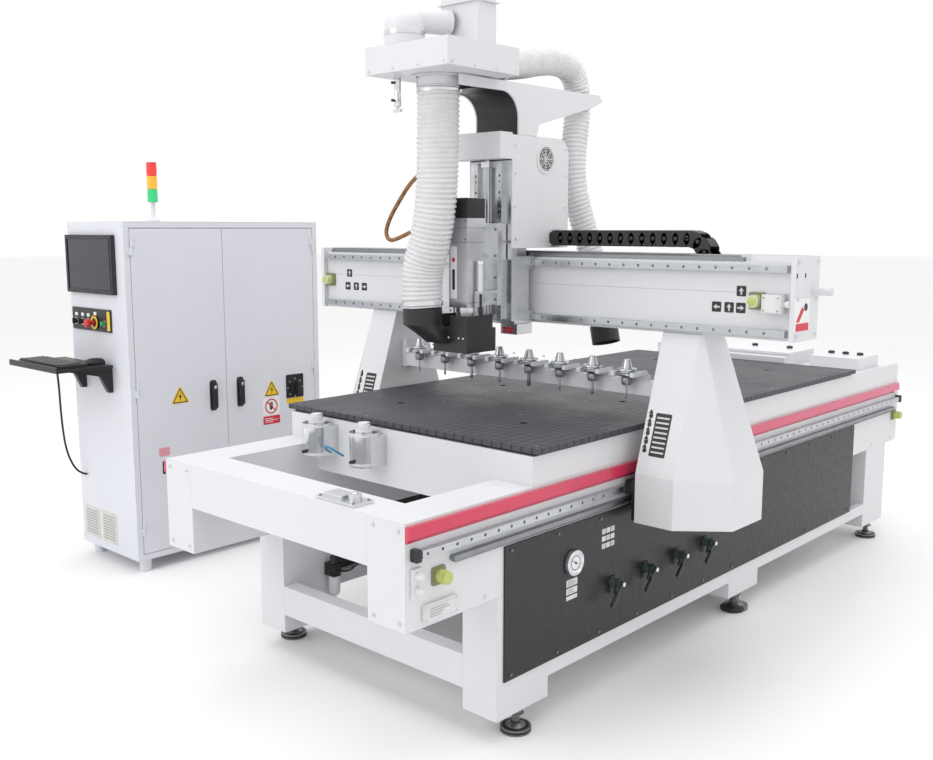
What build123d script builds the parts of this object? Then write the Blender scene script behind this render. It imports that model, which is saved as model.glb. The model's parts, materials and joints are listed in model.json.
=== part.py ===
from build123d import *
import os
from math import cos, degrees, pi, radians, sin, tan

# CNC router: a fixed bed, a moving gantry with an automatic tool changer, and a free-standing control cabinet.
# Millimetres. X runs across the bed, Y from the loading end to the rear, Z up. While the pieces are
# drawn, x = 0 is the middle of the bed, y = 0 its front face and z = 0 the floor. The last section moves
# every piece so that the origin is the middle of the whole footprint, on the floor.

# ---------------------------------------------------------------- clearances and common stock
seat_gap = 0.5  # between two bolted faces of different pieces
slide_gap = 1.0  # between pieces that pass each other
run_fit = 0.05  # radial clearance of a shaft in its bearing
tube_wall = 8.0  # wall of the welded steel tubes

# ---------------------------------------------------------------- bed frame
frame_width = 1206.0
frame_length = 3640.0
frame_top = 800.0
side_beam_width = 156.0
side_beam_height = 315.0
cross_beam_depth = 152.0
cross_beam_height = 152.0
under_tube_count = 5
under_tube_depth = 100.0
under_tube_height = 110.0
post_width = 144.0
post_length = 255.0
post_fronts = (387.0, 1849.0, 3250.0)
foot_height = 80.0
foot_radius = 50.0
foot_pad_height = 18.0
foot_stud_radius = 12.0
foot_offset = 127.5  # from a post's front face back to its foot
side_rail_height = 53.0
side_rail_lift = 70.0  # from the post's lower end up to the side rail
side_rail_thickness = 30.0
stretcher_height = 113.0
stretcher_depth = 60.0
stretcher_lift = 71.0

# ---------------------------------------------------------------- table
table_front = 555.0
base_rear = 3620.0
base_top = 896.0
base_wall = 12.0
base_floor = 5.0
apron_drop = 110.0  # how far the front apron hangs between the side beams
table_width = 1244.0
table_length = 2456.0
table_thickness = 27.0
table_step = 9.0  # thickness of the inset lower layer
table_inset = 18.0
suction_port_radius = 14.0
suction_zones = 4

# ---------------------------------------------------------------- linear guides and racks
rail_pitch = 60.0
rail_width = 23.0
rail_height = 24.0
rail_bolt_radius = 5.0
rail_bolt_depth = 10.0
y_rail_z = 708.0
y_rail_front = 45.0
y_rail_rear = 3600.0
y_block_length = 108.0
y_block_width = 48.0
block_seat = 8.0  # from the rail's foot to the block's underside
block_height = 40.0  # from the rail's foot to the block's top
rack_module = 3.0
rack_width = 20.0
rack_back = 14.0  # rack height above the teeth's roots
y_rack_front = 177.0
y_rack_rear = 3560.0
y_rack_top = 672.0
pinion_teeth = 16
tooth_share = 0.38  # tooth thickness at the pitch line, as a share of the pitch
cover_height = 48.0
cover_gap = 24.0  # between the rail's top edge and the cover
cover_reach = 16.0
panel_thickness = 6.0
panel_front = 416.0
panel_rear = 3065.0
panel_bottom = 203.0
panel_top = 640.0

# ---------------------------------------------------------------- side fittings
gauge_y = 757.0
gauge_z = 510.0
gauge_radius = 44.0
valve_front = 992.0
valve_pitch = 212.0
valve_count = 4
valve_z = 382.0
valve_radius = 17.0
valve_reach = 40.0
lever_length = 92.0
lever_slant = 45.0  # below the horizontal
stem_radius = 6.0
bumper_radius = 20.0
bumper_length = 45.0
bumper_front = 128.0
bumper_rear = 3585.0
bumper_z = 625.0

# ---------------------------------------------------------------- positioning cylinders and tool setter
locator_centres = (-381.0, -118.0)
locator_radius = 52.0
locator_bottom = 765.0
locator_top = 888.0
locator_pin_radius = 22.0
locator_pin_top = 921.0
locator_pin_length = 73.0
locator_bore_depth = 75.0
setter_centre = (292.0, 52.0)

# ---------------------------------------------------------------- gantry
gantry_front = 1190.0
gantry_depth = 145.0
gantry_bottom = 1244.0
gantry_top = 1492.0
gantry_half = 1132.0
beam_wall = 12.0
trough_front = 1252.0  # the trough for the energy chain lies behind the beam's upper part
trough_low = 1392.0
x_rail_levels = (1267.0, 1472.0)
x_rail_half = 1119.0
end_cover_thickness = 18.0
tray_cap_left = 960.0
tray_cap_height = 20.0
buffer_centres = (-1105.0, 1012.0)
leg_inner = 668.0
leg_outer_top = 822.0
leg_outer_bottom = 972.0
leg_front_bottom = 1030.0
leg_rear_bottom = 1494.0
leg_bottom = 597.0
leg_crease = 770.0
leg_corner = (155.0, 130.0)  # the lower box's outer corners, cut back in X and in Y
leg_top_corner = 8.0
leg_wall = 8.0
motor_half = 32.0
motor_length = 110.0
gear_length = 80.0
shaft_radius = 12.0
shaft_length = 100.0
tray_left = -1128.0
tray_right = 1128.0
tray_height = 120.0
tray_wall = 3.0
chain_width = 72.0
chain_link = 58.0
chain_bend = 98.0  # outer radius of the chain's loop
chain_anchor = -60.0
chain_bend_x = 705.0
tool_rack_half = 640.0
tool_rack_front = 1210.0
tool_rack_bottom = 1008.0
tool_rack_height = 52.0
tool_count = 8
tool_pitch = 150.0
holder_radius = 31.5

# ---------------------------------------------------------------- carriage
carriage_half = 105.0
carriage_front = 1038.0
carriage_plate_thickness = 28.0
carriage_bottom = 1256.0
column_bottom = 1526.0
column_top = 1937.0
column_rear = 1375.0
column_sheet = 5.0
housing_low = 1849.0
housing_top = 1944.0
fan_y = 1232.0
fan_z = 1858.0
fan_radius = 42.0
spacer_half = 95.0
x_block_length = 84.0
x_block_offset = 50.0
carriage_top = 1845.0
housing_front = 968.0
housing_left = -138.0
rear_corner = 60.0
blade_count = 7
pinion_shaft = 7.0
z_rail_offset = 58.0
z_rail_width = 20.0
z_rail_height = 18.0
z_block_width = 44.0
z_block_length = 60.0
z_block_levels = (1515.0, 1585.0)
z_block_seat = 5.0
screw_radius = 10.0
bearing_half = 20.0
bearing_height = 22.0

# ---------------------------------------------------------------- Z slide and spindle
slide_half = 83.0
slide_bottom = 1318.0
slide_top = 1618.0
slide_thickness = 22.0
slide_front = 983.0
spindle_half = 46.0
spindle_front = 860.0
spindle_rear = 955.0
spindle_bottom = 1313.0
spindle_top = 1636.0
spindle_cap_top = 1708.0
spindle_axis_y = 905.0
nose_radius = 38.0
nose_bottom = 1222.0
collet_radius = 25.0
collet_bottom = 1172.0
tool_radius = 6.0
chuck_radius = 16.0
fitting_length = 14.0
box_length = 30.0
tool_tip = 1147.0

# ---------------------------------------------------------------- dust shroud, hood and hoses
shroud_half = 84.0
shroud_front = 815.0
shroud_rear = 972.0
shroud_bottom = 1152.0
shroud_deck = 1238.0
shroud_wall = 6.0
shroud_wing_top = 1286.0
shroud_lift = 65.0
shroud_lift_room = 50.0
guide_radius = 13.0
guide_length = 108.0
rod_radius = 5.0
port_centre = (-97.0, 772.0)
hose_radius = 76.0
hose_wall = 3.0
port_low = 1252.0
port_top = 1312.0
port_radius = 72.0
hood_half = 198.0
hood_front = 600.0
hood_rear = 960.0
hood_bottom = 2125.0
hood_height = 92.0
hood_wall = 4.0
duct_half = 90.0
duct_front = 868.0
duct_top = 2480.0
elbow_radius = 70.0
arm_tip_front = 756.0
arm_tip_rear = 1595.0
arm_top = 2121.0
arm_plate = 6.0
rear_hose_radius = 52.0
rear_hose_x = 45.0
rear_collar_length = 60.0

# ---------------------------------------------------------------- control cabinet
cabinet_right = -1680.0  # the face with the doors
cabinet_width = 520.0
cabinet_front = 475.0
cabinet_length = 1095.0
cabinet_top = 1630.0
cabinet_bottom = 60.0
cabinet_wall = 4.0
door_border = 28.0
door_gap = 2.5
door_thickness = 22.0
door_skin = 2.5
hinge_radius = 5.0
hinge_pin = 2.5
hinge_height = 36.0
hinge_leaf = 16.0
hinge_inset = 2.0  # from the door's edge to its hinge axis
hinge_levels = (180.0, 830.0, 1480.0)
handle_z = 796.0
handle_height = 120.0
handle_offset = 78.0  # from the gap between the doors
door_split = 990.0
switch_spot = (1406.0, 780.0)
monitor_width = 430.0
monitor_levels = (1300.0, 1570.0)
monitor_rim = 18.0
console_width = 360.0
console_levels = (1124.0, 1228.0)
button_z = 1164.0
button_radius = 11.0
shelf_z = 965.0
shelf_width = 470.0
stack_lens_height = 60.0
stack_lens_start = 90.0  # above the cabinet's top

# ---------------------------------------------------------------- derived planes shared by many pieces
frame_half = frame_width / 2
beam_bottom = frame_top - side_beam_height
inner_half = frame_half - side_beam_width
table_top = base_top + table_thickness
table_rear = table_front + table_length
rail_face = frame_half + rail_height
block_face = frame_half + block_height
gantry_rear = gantry_front + gantry_depth
gantry_middle = gantry_front + gantry_depth / 2
rack_pitch = pi * rack_module
rack_addendum = 0.9 * rack_module
rack_dedendum = 1.2 * rack_module
pinion_radius = rack_module * pinion_teeth / 2
y_pitch_line = y_rack_top - rack_back - rack_dedendum
pinion_z = y_pitch_line - pinion_radius
leg_middle = (leg_front_bottom + leg_rear_bottom) / 2
leg_head_front = gantry_front - block_seat + 2 * slide_gap  # behind the passing bearing blocks
y_pinion_y = y_rack_front + round((leg_middle - y_rack_front) / rack_pitch) * rack_pitch
panel_face = frame_half + panel_thickness
carriage_back = gantry_front - block_height
tray_front = trough_front + seat_gap
tray_low = trough_low + seat_gap
chain_front = tray_front + tray_wall + 2
carriage_low = x_rail_levels[0] - y_block_width / 2
carriage_block_top = x_rail_levels[1] + y_block_width / 2
chain_start = carriage_half + 8
x_rack_front = gantry_front + 8
x_rack_start = -gantry_half + 20
x_rack_tip = gantry_top + rack_back + rack_addendum + rack_dedendum
x_pinion_z = x_rack_tip - rack_addendum + pinion_radius
x_pinion_x = x_rack_start + round(-x_rack_start / rack_pitch) * rack_pitch
screw_y = (slide_front + slide_thickness + carriage_front) / 2
hood_top = hood_bottom + hood_height
cabinet_left = cabinet_right - cabinet_width
cabinet_rear = cabinet_front + cabinet_length
hinge_x = cabinet_right + hinge_radius + slide_gap
door_bottom = cabinet_bottom + door_border + door_gap
door_top = cabinet_top - door_border - door_gap
door_front_hinge = cabinet_front + door_border + door_gap
door_rear_hinge = cabinet_rear - door_border - door_gap

pieces = {}  # every finished piece, by its name


def keep(builder, name):
    """Label a finished sub-part and keep it for export."""
    builder.part.label = name
    pieces[name] = builder.part


def block(low, high, mode=Mode.ADD):
    """A box given by its lowest and its highest corner."""
    middle = [(a + b) / 2 for a, b in zip(low, high)]
    with Locations(tuple(middle)):
        Box(high[0] - low[0], high[1] - low[1], high[2] - low[2], mode=mode)


def tube_block(low, high, along, wall=tube_wall):
    """A square tube between two corners, open at both ends of the axis `along` (0, 1 or 2)."""
    block(low, high)
    inner_low = [a if i == along else a + wall for i, a in enumerate(low)]
    inner_high = [b if i == along else b - wall for i, b in enumerate(high)]
    block(inner_low, inner_high, mode=Mode.SUBTRACT)


def rod(centre, radius, length, axis="Z", mode=Mode.ADD):
    """A cylinder centred on a point, lying along X, Y or Z."""
    turn = {"X": (0, 90, 0), "Y": (90, 0, 0), "Z": (0, 0, 0)}[axis]
    with Locations(Location(centre, turn)):
        Cylinder(radius, length, mode=mode)


def rack_outline(length):
    """Corners of a toothed bar along +X: the back lies on y = 0 and the teeth point to -y."""
    root = -rack_back
    tip = root - rack_addendum - rack_dedendum
    half_pitch_tooth = tooth_share * rack_pitch / 2
    slope = tan(radians(20))
    half_tip = half_pitch_tooth - rack_addendum * slope
    half_root = half_pitch_tooth + rack_dedendum * slope
    corners = [(0, 0), (0, root)]
    for index in range(int(length / rack_pitch) - 1):
        middle = (index + 1) * rack_pitch
        corners += [(middle - half_root, root), (middle - half_tip, tip)]
        corners += [(middle + half_tip, tip), (middle + half_root, root)]
    corners += [(length, root), (length, 0)]
    return corners


def pinion_outline():
    """Corners of a pinion about the origin, with a tooth space centred on +y."""
    tooth_angle = 2 * pi / pinion_teeth
    levels = (pinion_radius - rack_dedendum, pinion_radius + rack_addendum)
    half_root = tooth_share * tooth_angle / 2 + rack_dedendum * tan(radians(20)) / pinion_radius
    half_tip = tooth_share * tooth_angle / 2 - rack_addendum * tan(radians(20)) / pinion_radius
    corners = []
    for index in range(pinion_teeth):
        middle = pi / 2 + (index + 0.5) * tooth_angle
        for radius, offset in zip(
            (levels[0], levels[1], levels[1], levels[0]), (-half_root, -half_tip, half_tip, half_root)
        ):
            corners.append((radius * cos(middle + offset), radius * sin(middle + offset)))
    return corners


def route_radii(points, label):
    """Arc radii for a hose or cable route: 0.45 of the shorter run over the tangent of half the turn."""
    vectors = [Vector(*point) for point in points]
    runs = [b - a for a, b in zip(vectors, vectors[1:])]
    radii = []
    for before, after in zip(runs, runs[1:]):
        half_turn = radians(before.get_angle(after)) / 2
        radii.append(0.45 * min(before.length, after.length) / tan(half_turn))
    print(label, "radii", [round(radius) for radius in radii])
    return radii


def route_tube(points, outer, inner, label):
    """Sweep a round section along straight runs joined by tangent arcs."""
    with BuildLine() as route:
        FilletPolyline(*points, radius=route_radii(points, label))
    path = route.wire()
    with BuildSketch(Plane(origin=path @ 0, z_dir=path % 0)) as section:
        Circle(outer)
        if inner:
            Circle(inner, mode=Mode.SUBTRACT)
    tube = sweep(section.sketch, path=path)
    expected = section.sketch.area * path.length
    print(label, "length", round(path.length), "volume over section x length", round(tube.volume / expected, 4))


# ================================================================ bed frame
with BuildPart() as side_beams:
    for side in (-1, 1):
        edges = sorted((side * inner_half, side * frame_half))
        tube_block((edges[0], 0, beam_bottom), (edges[1], frame_length, frame_top), along=1)
        block((edges[0], 0, beam_bottom), (edges[1], tube_wall, frame_top))
        block((edges[0], frame_length - tube_wall, beam_bottom), (edges[1], frame_length, frame_top))
keep(side_beams, "side_beams")

with BuildPart() as cross_members:
    beam_low = frame_top - cross_beam_height
    for front in (0, frame_length - cross_beam_depth):
        tube_block(
            (-inner_half, front, beam_low), (inner_half, front + cross_beam_depth, frame_top), along=0
        )
    first_tube = table_front + base_wall + seat_gap
    last_tube = frame_length - cross_beam_depth - 2 * under_tube_depth
    tube_step = (last_tube - first_tube) / (under_tube_count - 1)
    for index in range(under_tube_count):
        front = first_tube + index * tube_step
        tube_block(
            (-inner_half, front, frame_top - under_tube_height),
            (inner_half, front + under_tube_depth, frame_top),
            along=0,
        )
    post_inner = frame_half - post_width
    stretcher_low = foot_height + stretcher_lift
    for front in (post_fronts[0], post_fronts[-1] + post_length - stretcher_depth):
        tube_block(
            (-post_inner, front, stretcher_low),
            (post_inner, front + stretcher_depth, stretcher_low + stretcher_height),
            along=0,
        )
    rail_low = foot_height + side_rail_lift
    for side in (-1, 1):
        edges = sorted((side * frame_half, side * (frame_half - side_rail_thickness)))
        for front, rear in zip(post_fronts, post_fronts[1:]):
            block(
                (edges[0], front + post_length, rail_low),
                (edges[1], rear, rail_low + side_rail_height),
            )
keep(cross_members, "cross_members")

with BuildPart() as leg_posts:
    for side in (-1, 1):
        edges = sorted((side * frame_half, side * post_inner))
        for front in post_fronts:
            tube_block(
                (edges[0], front, foot_height), (edges[1], front + post_length, beam_bottom), along=2
            )
            block(
                (edges[0], front, foot_height),
                (edges[1], front + post_length, foot_height + tube_wall),
            )
keep(leg_posts, "leg_posts")

foot_x = frame_half - foot_radius / 2 - 5
with BuildPart() as levelling_feet:
    for side in (-1, 1):
        for front in post_fronts:
            spot = (side * foot_x, front + foot_offset)
            rod((*spot, foot_pad_height / 2), foot_radius, foot_pad_height)
            with Locations((*spot, foot_pad_height)):
                Cone(foot_radius * 0.7, foot_stud_radius, 14, align=(Align.CENTER, Align.CENTER, Align.MIN))
            rod((*spot, foot_height / 2), foot_stud_radius, foot_height)
            rod((*spot, foot_height - 9), 1.7 * foot_stud_radius, 18)
keep(levelling_feet, "levelling_feet")

# ================================================================ table
with BuildPart() as table_base:
    block((-frame_half, table_front, frame_top), (frame_half, base_rear, base_top))
    block(
        (-frame_half + base_wall, table_front + base_wall, frame_top),
        (frame_half - base_wall, base_rear - base_wall, base_top - base_wall),
        mode=Mode.SUBTRACT,
    )
    block((-frame_half, table_front, frame_top), (frame_half, base_rear, frame_top + base_floor))
    block((-inner_half, table_front, frame_top - apron_drop), (inner_half, table_front + base_wall, frame_top))
    rib_step = (base_rear - table_front) / (under_tube_count + 1)
    for index in range(under_tube_count):
        rib = table_front + (index + 1) * rib_step
        block(
            (-frame_half + base_wall, rib, frame_top), (frame_half - base_wall, rib + base_wall, base_top)
        )
keep(table_base, "table_base")

with BuildPart() as vacuum_table:
    half = table_width / 2
    block((-half, table_front, base_top + table_step), (half, table_rear, table_top))
    block(
        (-half + table_inset, table_front + table_inset, base_top),
        (half - table_inset, table_rear - table_inset, base_top + table_step),
    )
    with GridLocations(table_width / 2, table_length / suction_zones, 2, suction_zones) as ports:
        centres = [spot.position for spot in ports.locations]
    for spot in centres:
        rod(
            (spot.X, spot.Y + (table_front + table_rear) / 2, table_top - 6),
            suction_port_radius, 12 + 2, mode=Mode.SUBTRACT,
        )
keep(vacuum_table, "vacuum_table")

# white housings, knobs and a stop bar at the rear of the table base
rear_gap = 70.0
white_front = table_rear + rear_gap + 40
with BuildPart() as rear_housings:
    block((-560, white_front, base_top), (230, white_front + 290, base_top + 66))
    block((320, white_front + 40, base_top), (570, white_front + 300, base_top + 60))
    for knob_x in (-360, -60, 140):
        rod((knob_x, white_front + 190, base_top + 66 + 8), 14, 16)
    for knob_x in (370, 445, 520):
        rod((knob_x, white_front + 190, base_top + 60 + 8), 14, 16)
    block((-470, table_rear + 6, base_top), (250, table_rear + 46, table_top + 26))
keep(rear_housings, "rear_housings")

# ================================================================ Y guides on the side beams
rail_length = y_rail_rear - y_rail_front
with BuildPart() as y_rails:
    bolts = int((rail_length - 40) / rail_pitch)
    for side in (-1, 1):
        start = (side * frame_half, y_rail_front, y_rail_z)
        face = Plane(origin=start, x_dir=(0, 1, 0), z_dir=(side, 0, 0))
        with BuildSketch(face):
            with Locations((rail_length / 2, 0)):
                Rectangle(rail_length, rail_width)
        extrude(amount=rail_height)
        with BuildSketch(face.offset(rail_height)):
            with Locations((20 + (bolts - 1) * rail_pitch / 2, 0)):
                with GridLocations(rail_pitch, 1, bolts, 1):
                    Circle(rail_bolt_radius)
        extrude(amount=-rail_bolt_depth, mode=Mode.SUBTRACT)
keep(y_rails, "y_rails")

with BuildPart() as y_racks:
    for side in (-1, 1):
        start = (side * frame_half, y_rack_front, y_rack_top)
        with BuildSketch(Plane(origin=start, x_dir=(0, 1, 0), z_dir=(1, 0, 0))):
            with BuildLine():
                Polyline(*rack_outline(y_rack_rear - y_rack_front), close=True)
            make_face()
        extrude(amount=side * rack_width)
keep(y_racks, "y_racks")

cover_bottom = y_rail_z + rail_width / 2 + cover_gap
with BuildPart() as rail_covers:
    for side in (-1, 1):
        with BuildSketch(Plane.XZ):
            with BuildLine():
                Polyline(
                    (side * frame_half, cover_bottom),
                    (side * (frame_half + 4), cover_bottom),
                    (side * (frame_half + cover_reach), cover_bottom + 14),
                    (side * (frame_half + cover_reach - 4), cover_bottom + cover_height),
                    (side * frame_half, cover_bottom + cover_height),
                    close=True,
                )
            make_face()
        extrude(amount=-base_rear)
keep(rail_covers, "rail_covers")

with BuildPart() as side_panels:
    for side in (-1, 1):
        edges = sorted((side * frame_half, side * (frame_half + panel_thickness)))
        block((edges[0], panel_front, panel_bottom), (edges[1], panel_rear, panel_top))
keep(side_panels, "side_panels")

# ================================================================ pneumatic and vacuum fittings
valve_spots = [valve_front + index * valve_pitch for index in range(valve_count)]
lever_x = panel_face + valve_reach + slide_gap
with BuildPart() as side_fittings:
    rod((panel_face + 9, gauge_y, gauge_z), gauge_radius, 18, axis="X")
    for spot in valve_spots:
        rod((panel_face + valve_reach / 2, spot, valve_z), valve_radius, valve_reach, axis="X")
        rod((panel_face + 4, spot, valve_z), valve_radius + 8, 8, axis="X")
        rod((lever_x + 3, spot, valve_z), stem_radius, 2 * (lever_x + 3 - panel_face - valve_reach), axis="X")
    filter_spot = (-post_inner + 40, post_fronts[0] + 213)
    block((-post_inner, filter_spot[1] - 20, 262), (-post_inner + 60, filter_spot[1] + 20, 310))
    rod((*filter_spot, 223), 22, 80)
    rod((*filter_spot, 326), 16, 34)
    for side in (-1, 1):
        for spot in (bumper_front, bumper_rear):
            middle = side * (frame_half + bumper_length / 2)
            rod((middle, spot, bumper_z), bumper_radius, bumper_length, axis="X")
    block((frame_half, 62, beam_bottom + 16), (frame_half + 14, 198, beam_bottom + 68))
    block((frame_half, 18, 582), (frame_half + 10, 58, 668))
    for level in (604, 646):
        rod((frame_half + 20, 38, level), 12, 24, axis="X")
keep(side_fittings, "side_fittings")

# each lever hangs down and forward from its valve's stem and turns about X
slant = (0, -cos(radians(lever_slant)), -sin(radians(lever_slant)))
for number, spot in enumerate(valve_spots, start=1):
    with BuildPart() as valve_lever:
        face = Plane(origin=(lever_x, spot, valve_z), x_dir=slant, z_dir=(1, 0, 0))
        with BuildSketch(face):
            Circle(12)
            with Locations((lever_length / 2, 0)):
                Rectangle(lever_length, 11)
        extrude(amount=4)
        with BuildSketch(face):
            with Locations((lever_length - 27, 0)):
                RectangleRounded(54, 16, 6)
        extrude(amount=9)
        with BuildSketch(face):
            Circle(stem_radius + run_fit)
        extrude(amount=9, mode=Mode.SUBTRACT)
    keep(valve_lever, f"valve_lever_{number}")

# ================================================================ positioning cylinders, tool setter
locator_y = table_front - locator_radius - 6
with BuildPart() as positioning_cylinders:
    for spot in locator_centres:
        rod((spot, locator_y, (locator_bottom + locator_top) / 2), locator_radius,
            locator_top - locator_bottom)
        block(
            (spot - locator_radius, locator_y, locator_bottom),
            (spot + locator_radius, table_front - seat_gap, locator_top - 10),
        )
        rod(
            (spot, locator_y, locator_top), locator_pin_radius + slide_gap, 2 * locator_bore_depth,
            mode=Mode.SUBTRACT,
        )
keep(positioning_cylinders, "positioning_cylinders")

with BuildPart() as positioning_pins:
    for spot in locator_centres:
        rod((spot, locator_y, locator_pin_top - locator_pin_length / 2), locator_pin_radius, locator_pin_length)
keep(positioning_pins, "positioning_pins")

with BuildPart() as tool_setter:
    spot_x, spot_y = setter_centre
    block((spot_x - 85, spot_y - 40, frame_top), (spot_x + 85, spot_y + 40, frame_top + 10))
    block((spot_x - 60, spot_y - 28, frame_top + 10), (spot_x + 20, spot_y + 28, frame_top + 22))
    rod((spot_x + 48, spot_y, frame_top + 20), 20, 20)
keep(tool_setter, "tool_setter")

# ================================================================ control cabinet
with BuildPart() as cabinet_shell:
    block((cabinet_left, cabinet_front, cabinet_bottom), (cabinet_right, cabinet_rear, cabinet_top))
    block(
        (cabinet_left + cabinet_wall, cabinet_front + cabinet_wall, cabinet_bottom + cabinet_wall),
        (cabinet_right - door_thickness, cabinet_rear - cabinet_wall, cabinet_top - cabinet_wall),
        mode=Mode.SUBTRACT,
    )
    block(
        (cabinet_right - 2 * door_thickness, cabinet_front + door_border, cabinet_bottom + door_border),
        (cabinet_right + 1, cabinet_rear - door_border, cabinet_top - door_border),
        mode=Mode.SUBTRACT,
    )
    for spot_x in (cabinet_left + 45, cabinet_right - 45):
        for spot_y in (cabinet_front + 60, cabinet_rear - 60):
            rod((spot_x, spot_y, cabinet_bottom / 2), 28, cabinet_bottom)
    for axis_y, inward in ((door_front_hinge + hinge_inset, 1), (door_rear_hinge - hinge_inset, -1)):
        for level in hinge_levels:
            leaf = sorted((axis_y, axis_y - inward * hinge_leaf))
            block((cabinet_right, leaf[0], level), (hinge_x, leaf[1], level + hinge_height))
            rod((hinge_x, axis_y, level + hinge_height / 2), hinge_radius, hinge_height)
            rod((hinge_x, axis_y, level + hinge_height), hinge_pin, 2 * hinge_height)
keep(cabinet_shell, "cabinet_shell")


def cabinet_door(hinge_y, inward):
    """A tray-shaped door from its hinge edge, `inward` (+1 or -1) along Y, to the gap between the doors."""
    edges = sorted((hinge_y, door_split - inward * door_gap / 2))
    low_x = cabinet_right - door_thickness
    with BuildPart() as door:
        block((low_x, edges[0], door_bottom), (cabinet_right, edges[1], door_top))
        block(
            (low_x - 1, edges[0] + door_skin, door_bottom + door_skin),
            (cabinet_right - door_skin, edges[1] - door_skin, door_top - door_skin),
            mode=Mode.SUBTRACT,
        )
        axis_y = hinge_y + inward * hinge_inset
        for level in hinge_levels:
            low = level + hinge_height + slide_gap
            leaf = sorted((axis_y, axis_y + inward * hinge_leaf))
            block((cabinet_right, leaf[0], low), (hinge_x, leaf[1], low + hinge_height))
            rod((hinge_x, axis_y, low + hinge_height / 2), hinge_radius, hinge_height)
            rod((hinge_x, axis_y, low + hinge_height / 2), hinge_pin + run_fit, hinge_height + 2,
                mode=Mode.SUBTRACT)
    return door


door_front = cabinet_door(door_front_hinge, 1)
keep(door_front, "cabinet_door_front")
door_back = cabinet_door(door_rear_hinge, -1)
keep(door_back, "cabinet_door_rear")

for spot_y, name in ((door_split - handle_offset, "front"), (door_split + handle_offset, "rear")):
    with BuildPart() as door_handle:
        face = cabinet_right + seat_gap
        rod((face + 5, spot_y, handle_z + handle_height / 2 - 20), 15, 10, axis="X")
        block(
            (face + 10, spot_y - 12, handle_z - handle_height / 2),
            (face + 22, spot_y + 12, handle_z + handle_height / 2),
        )
    keep(door_handle, f"door_handle_{name}")

switch_y, switch_z = switch_spot
with BuildPart() as main_switch:
    face = cabinet_right + seat_gap
    rod((face + 9, switch_y, switch_z), 34, 18, axis="X")
    block((face + 18, switch_y - 9, switch_z - 32), (face + 40, switch_y + 9, switch_z + 32))
keep(main_switch, "main_switch_knob")

monitor_left = cabinet_left + 14
monitor_right = monitor_left + monitor_width
start_spot = (monitor_left + 315, button_z)
with BuildPart() as operator_panel:
    front = cabinet_front
    low, high = monitor_levels
    block((monitor_left, front - 22, low), (monitor_right, front, high))
    block(
        (monitor_left + monitor_rim, front - 23, low + monitor_rim),
        (monitor_right - monitor_rim, front - 18, high - monitor_rim),
        mode=Mode.SUBTRACT,
    )
    low, high = console_levels
    block((monitor_left + 10, front - 8, low), (monitor_left + 10 + console_width, front, high))
    for spot_x in (monitor_left + 50, monitor_left + 110, monitor_left + 165):
        rod((spot_x, front - 15, button_z), 13, 14, axis="Y")
    e_stop_spot = (monitor_left + 230, front, button_z)
    rod((e_stop_spot[0], front - 11, e_stop_spot[2]), 30, 6, axis="Y")
    for spot_x in (e_stop_spot[0], start_spot[0]):
        rod((spot_x, front - 8, button_z), button_radius + slide_gap, 16, axis="Y", mode=Mode.SUBTRACT)
keep(operator_panel, "operator_panel")

with BuildPart() as e_stop:
    rod((e_stop_spot[0], front - 29, e_stop_spot[2]), button_radius, 28, axis="Y")
    rod((e_stop_spot[0], front - 50, e_stop_spot[2]), 20, 14, axis="Y")
keep(e_stop, "e_stop_button")

with BuildPart() as start_button:
    rod((start_spot[0], front - 8 - 8 - slide_gap, start_spot[1]), button_radius, 16, axis="Y")
keep(start_button, "start_button")

shelf_left = cabinet_left - 60
shelf_right = shelf_left + shelf_width
with BuildPart() as keyboard_shelf:
    block((shelf_left, front - 290, shelf_z), (shelf_right, front - 20, shelf_z + 14))
    block((shelf_left, front - 290, shelf_z + 14), (shelf_right, front - 280, shelf_z + 26))
    for spot_x in (shelf_left + 150, shelf_left + 400):
        with BuildSketch(Plane(origin=(spot_x, front, shelf_z), x_dir=(0, -1, 0), z_dir=(1, 0, 0))):
            with BuildLine():
                Polyline((0, 120), (22, 120), (60, 40), (210, 6), (210, 0), (0, 0), close=True)
            make_face()
        extrude(amount=26)
keep(keyboard_shelf, "keyboard_shelf")

cable_radius = 5.0
cable_x = shelf_left + 120
cable_route = [
    (cable_x + 62, front - 150, shelf_z - 1),
    (cable_x + 60, front - 146, shelf_z - 52),
    (cable_x + 38, front - 132, shelf_z - 120),
    (cable_x + 12, front - 118, shelf_z - 215),
    (cable_x - 8, front - 104, shelf_z - 320),
    (cable_x - 22, front - 86, shelf_z - 425),
    (cable_x - 14, front - 62, shelf_z - 505),
    (cable_x + 4, front - 34, shelf_z - 548),
    (cable_x + 12, front - 4, shelf_z - 556),
]
locator_gap = (locator_centres[0] + locator_centres[1]) / 2
air_line_radius = 4.0
air_line_route = [
    (locator_gap - 34, locator_y - 14, 790),
    (locator_gap - 36, locator_y - 40, 806),
    (locator_gap - 14, locator_y - 58, 824),
    (locator_gap + 14, locator_y - 58, 822),
    (locator_gap + 34, locator_y - 40, 804),
    (locator_gap + 33, locator_y - 14, 788),
]
filter_line_route = [
    (filter_spot[0] + 22, filter_spot[1], 286),
    (filter_spot[0] + 66, filter_spot[1] + 3, 290),
    (filter_spot[0] + 96, filter_spot[1] + 22, 312),
    (filter_spot[0] + 108, filter_spot[1] + 50, 356),
    (filter_spot[0] + 106, filter_spot[1] + 76, 410),
    (filter_spot[0] + 108, filter_spot[1] + 100, 462),
]
with BuildPart() as service_lines:
    route_tube(cable_route, cable_radius, 0, "cabinet cable")
    route_tube(air_line_route, air_line_radius, 0, "air line")
    route_tube(filter_line_route, air_line_radius, 0, "filter line")
keep(service_lines, "service_lines")

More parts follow.
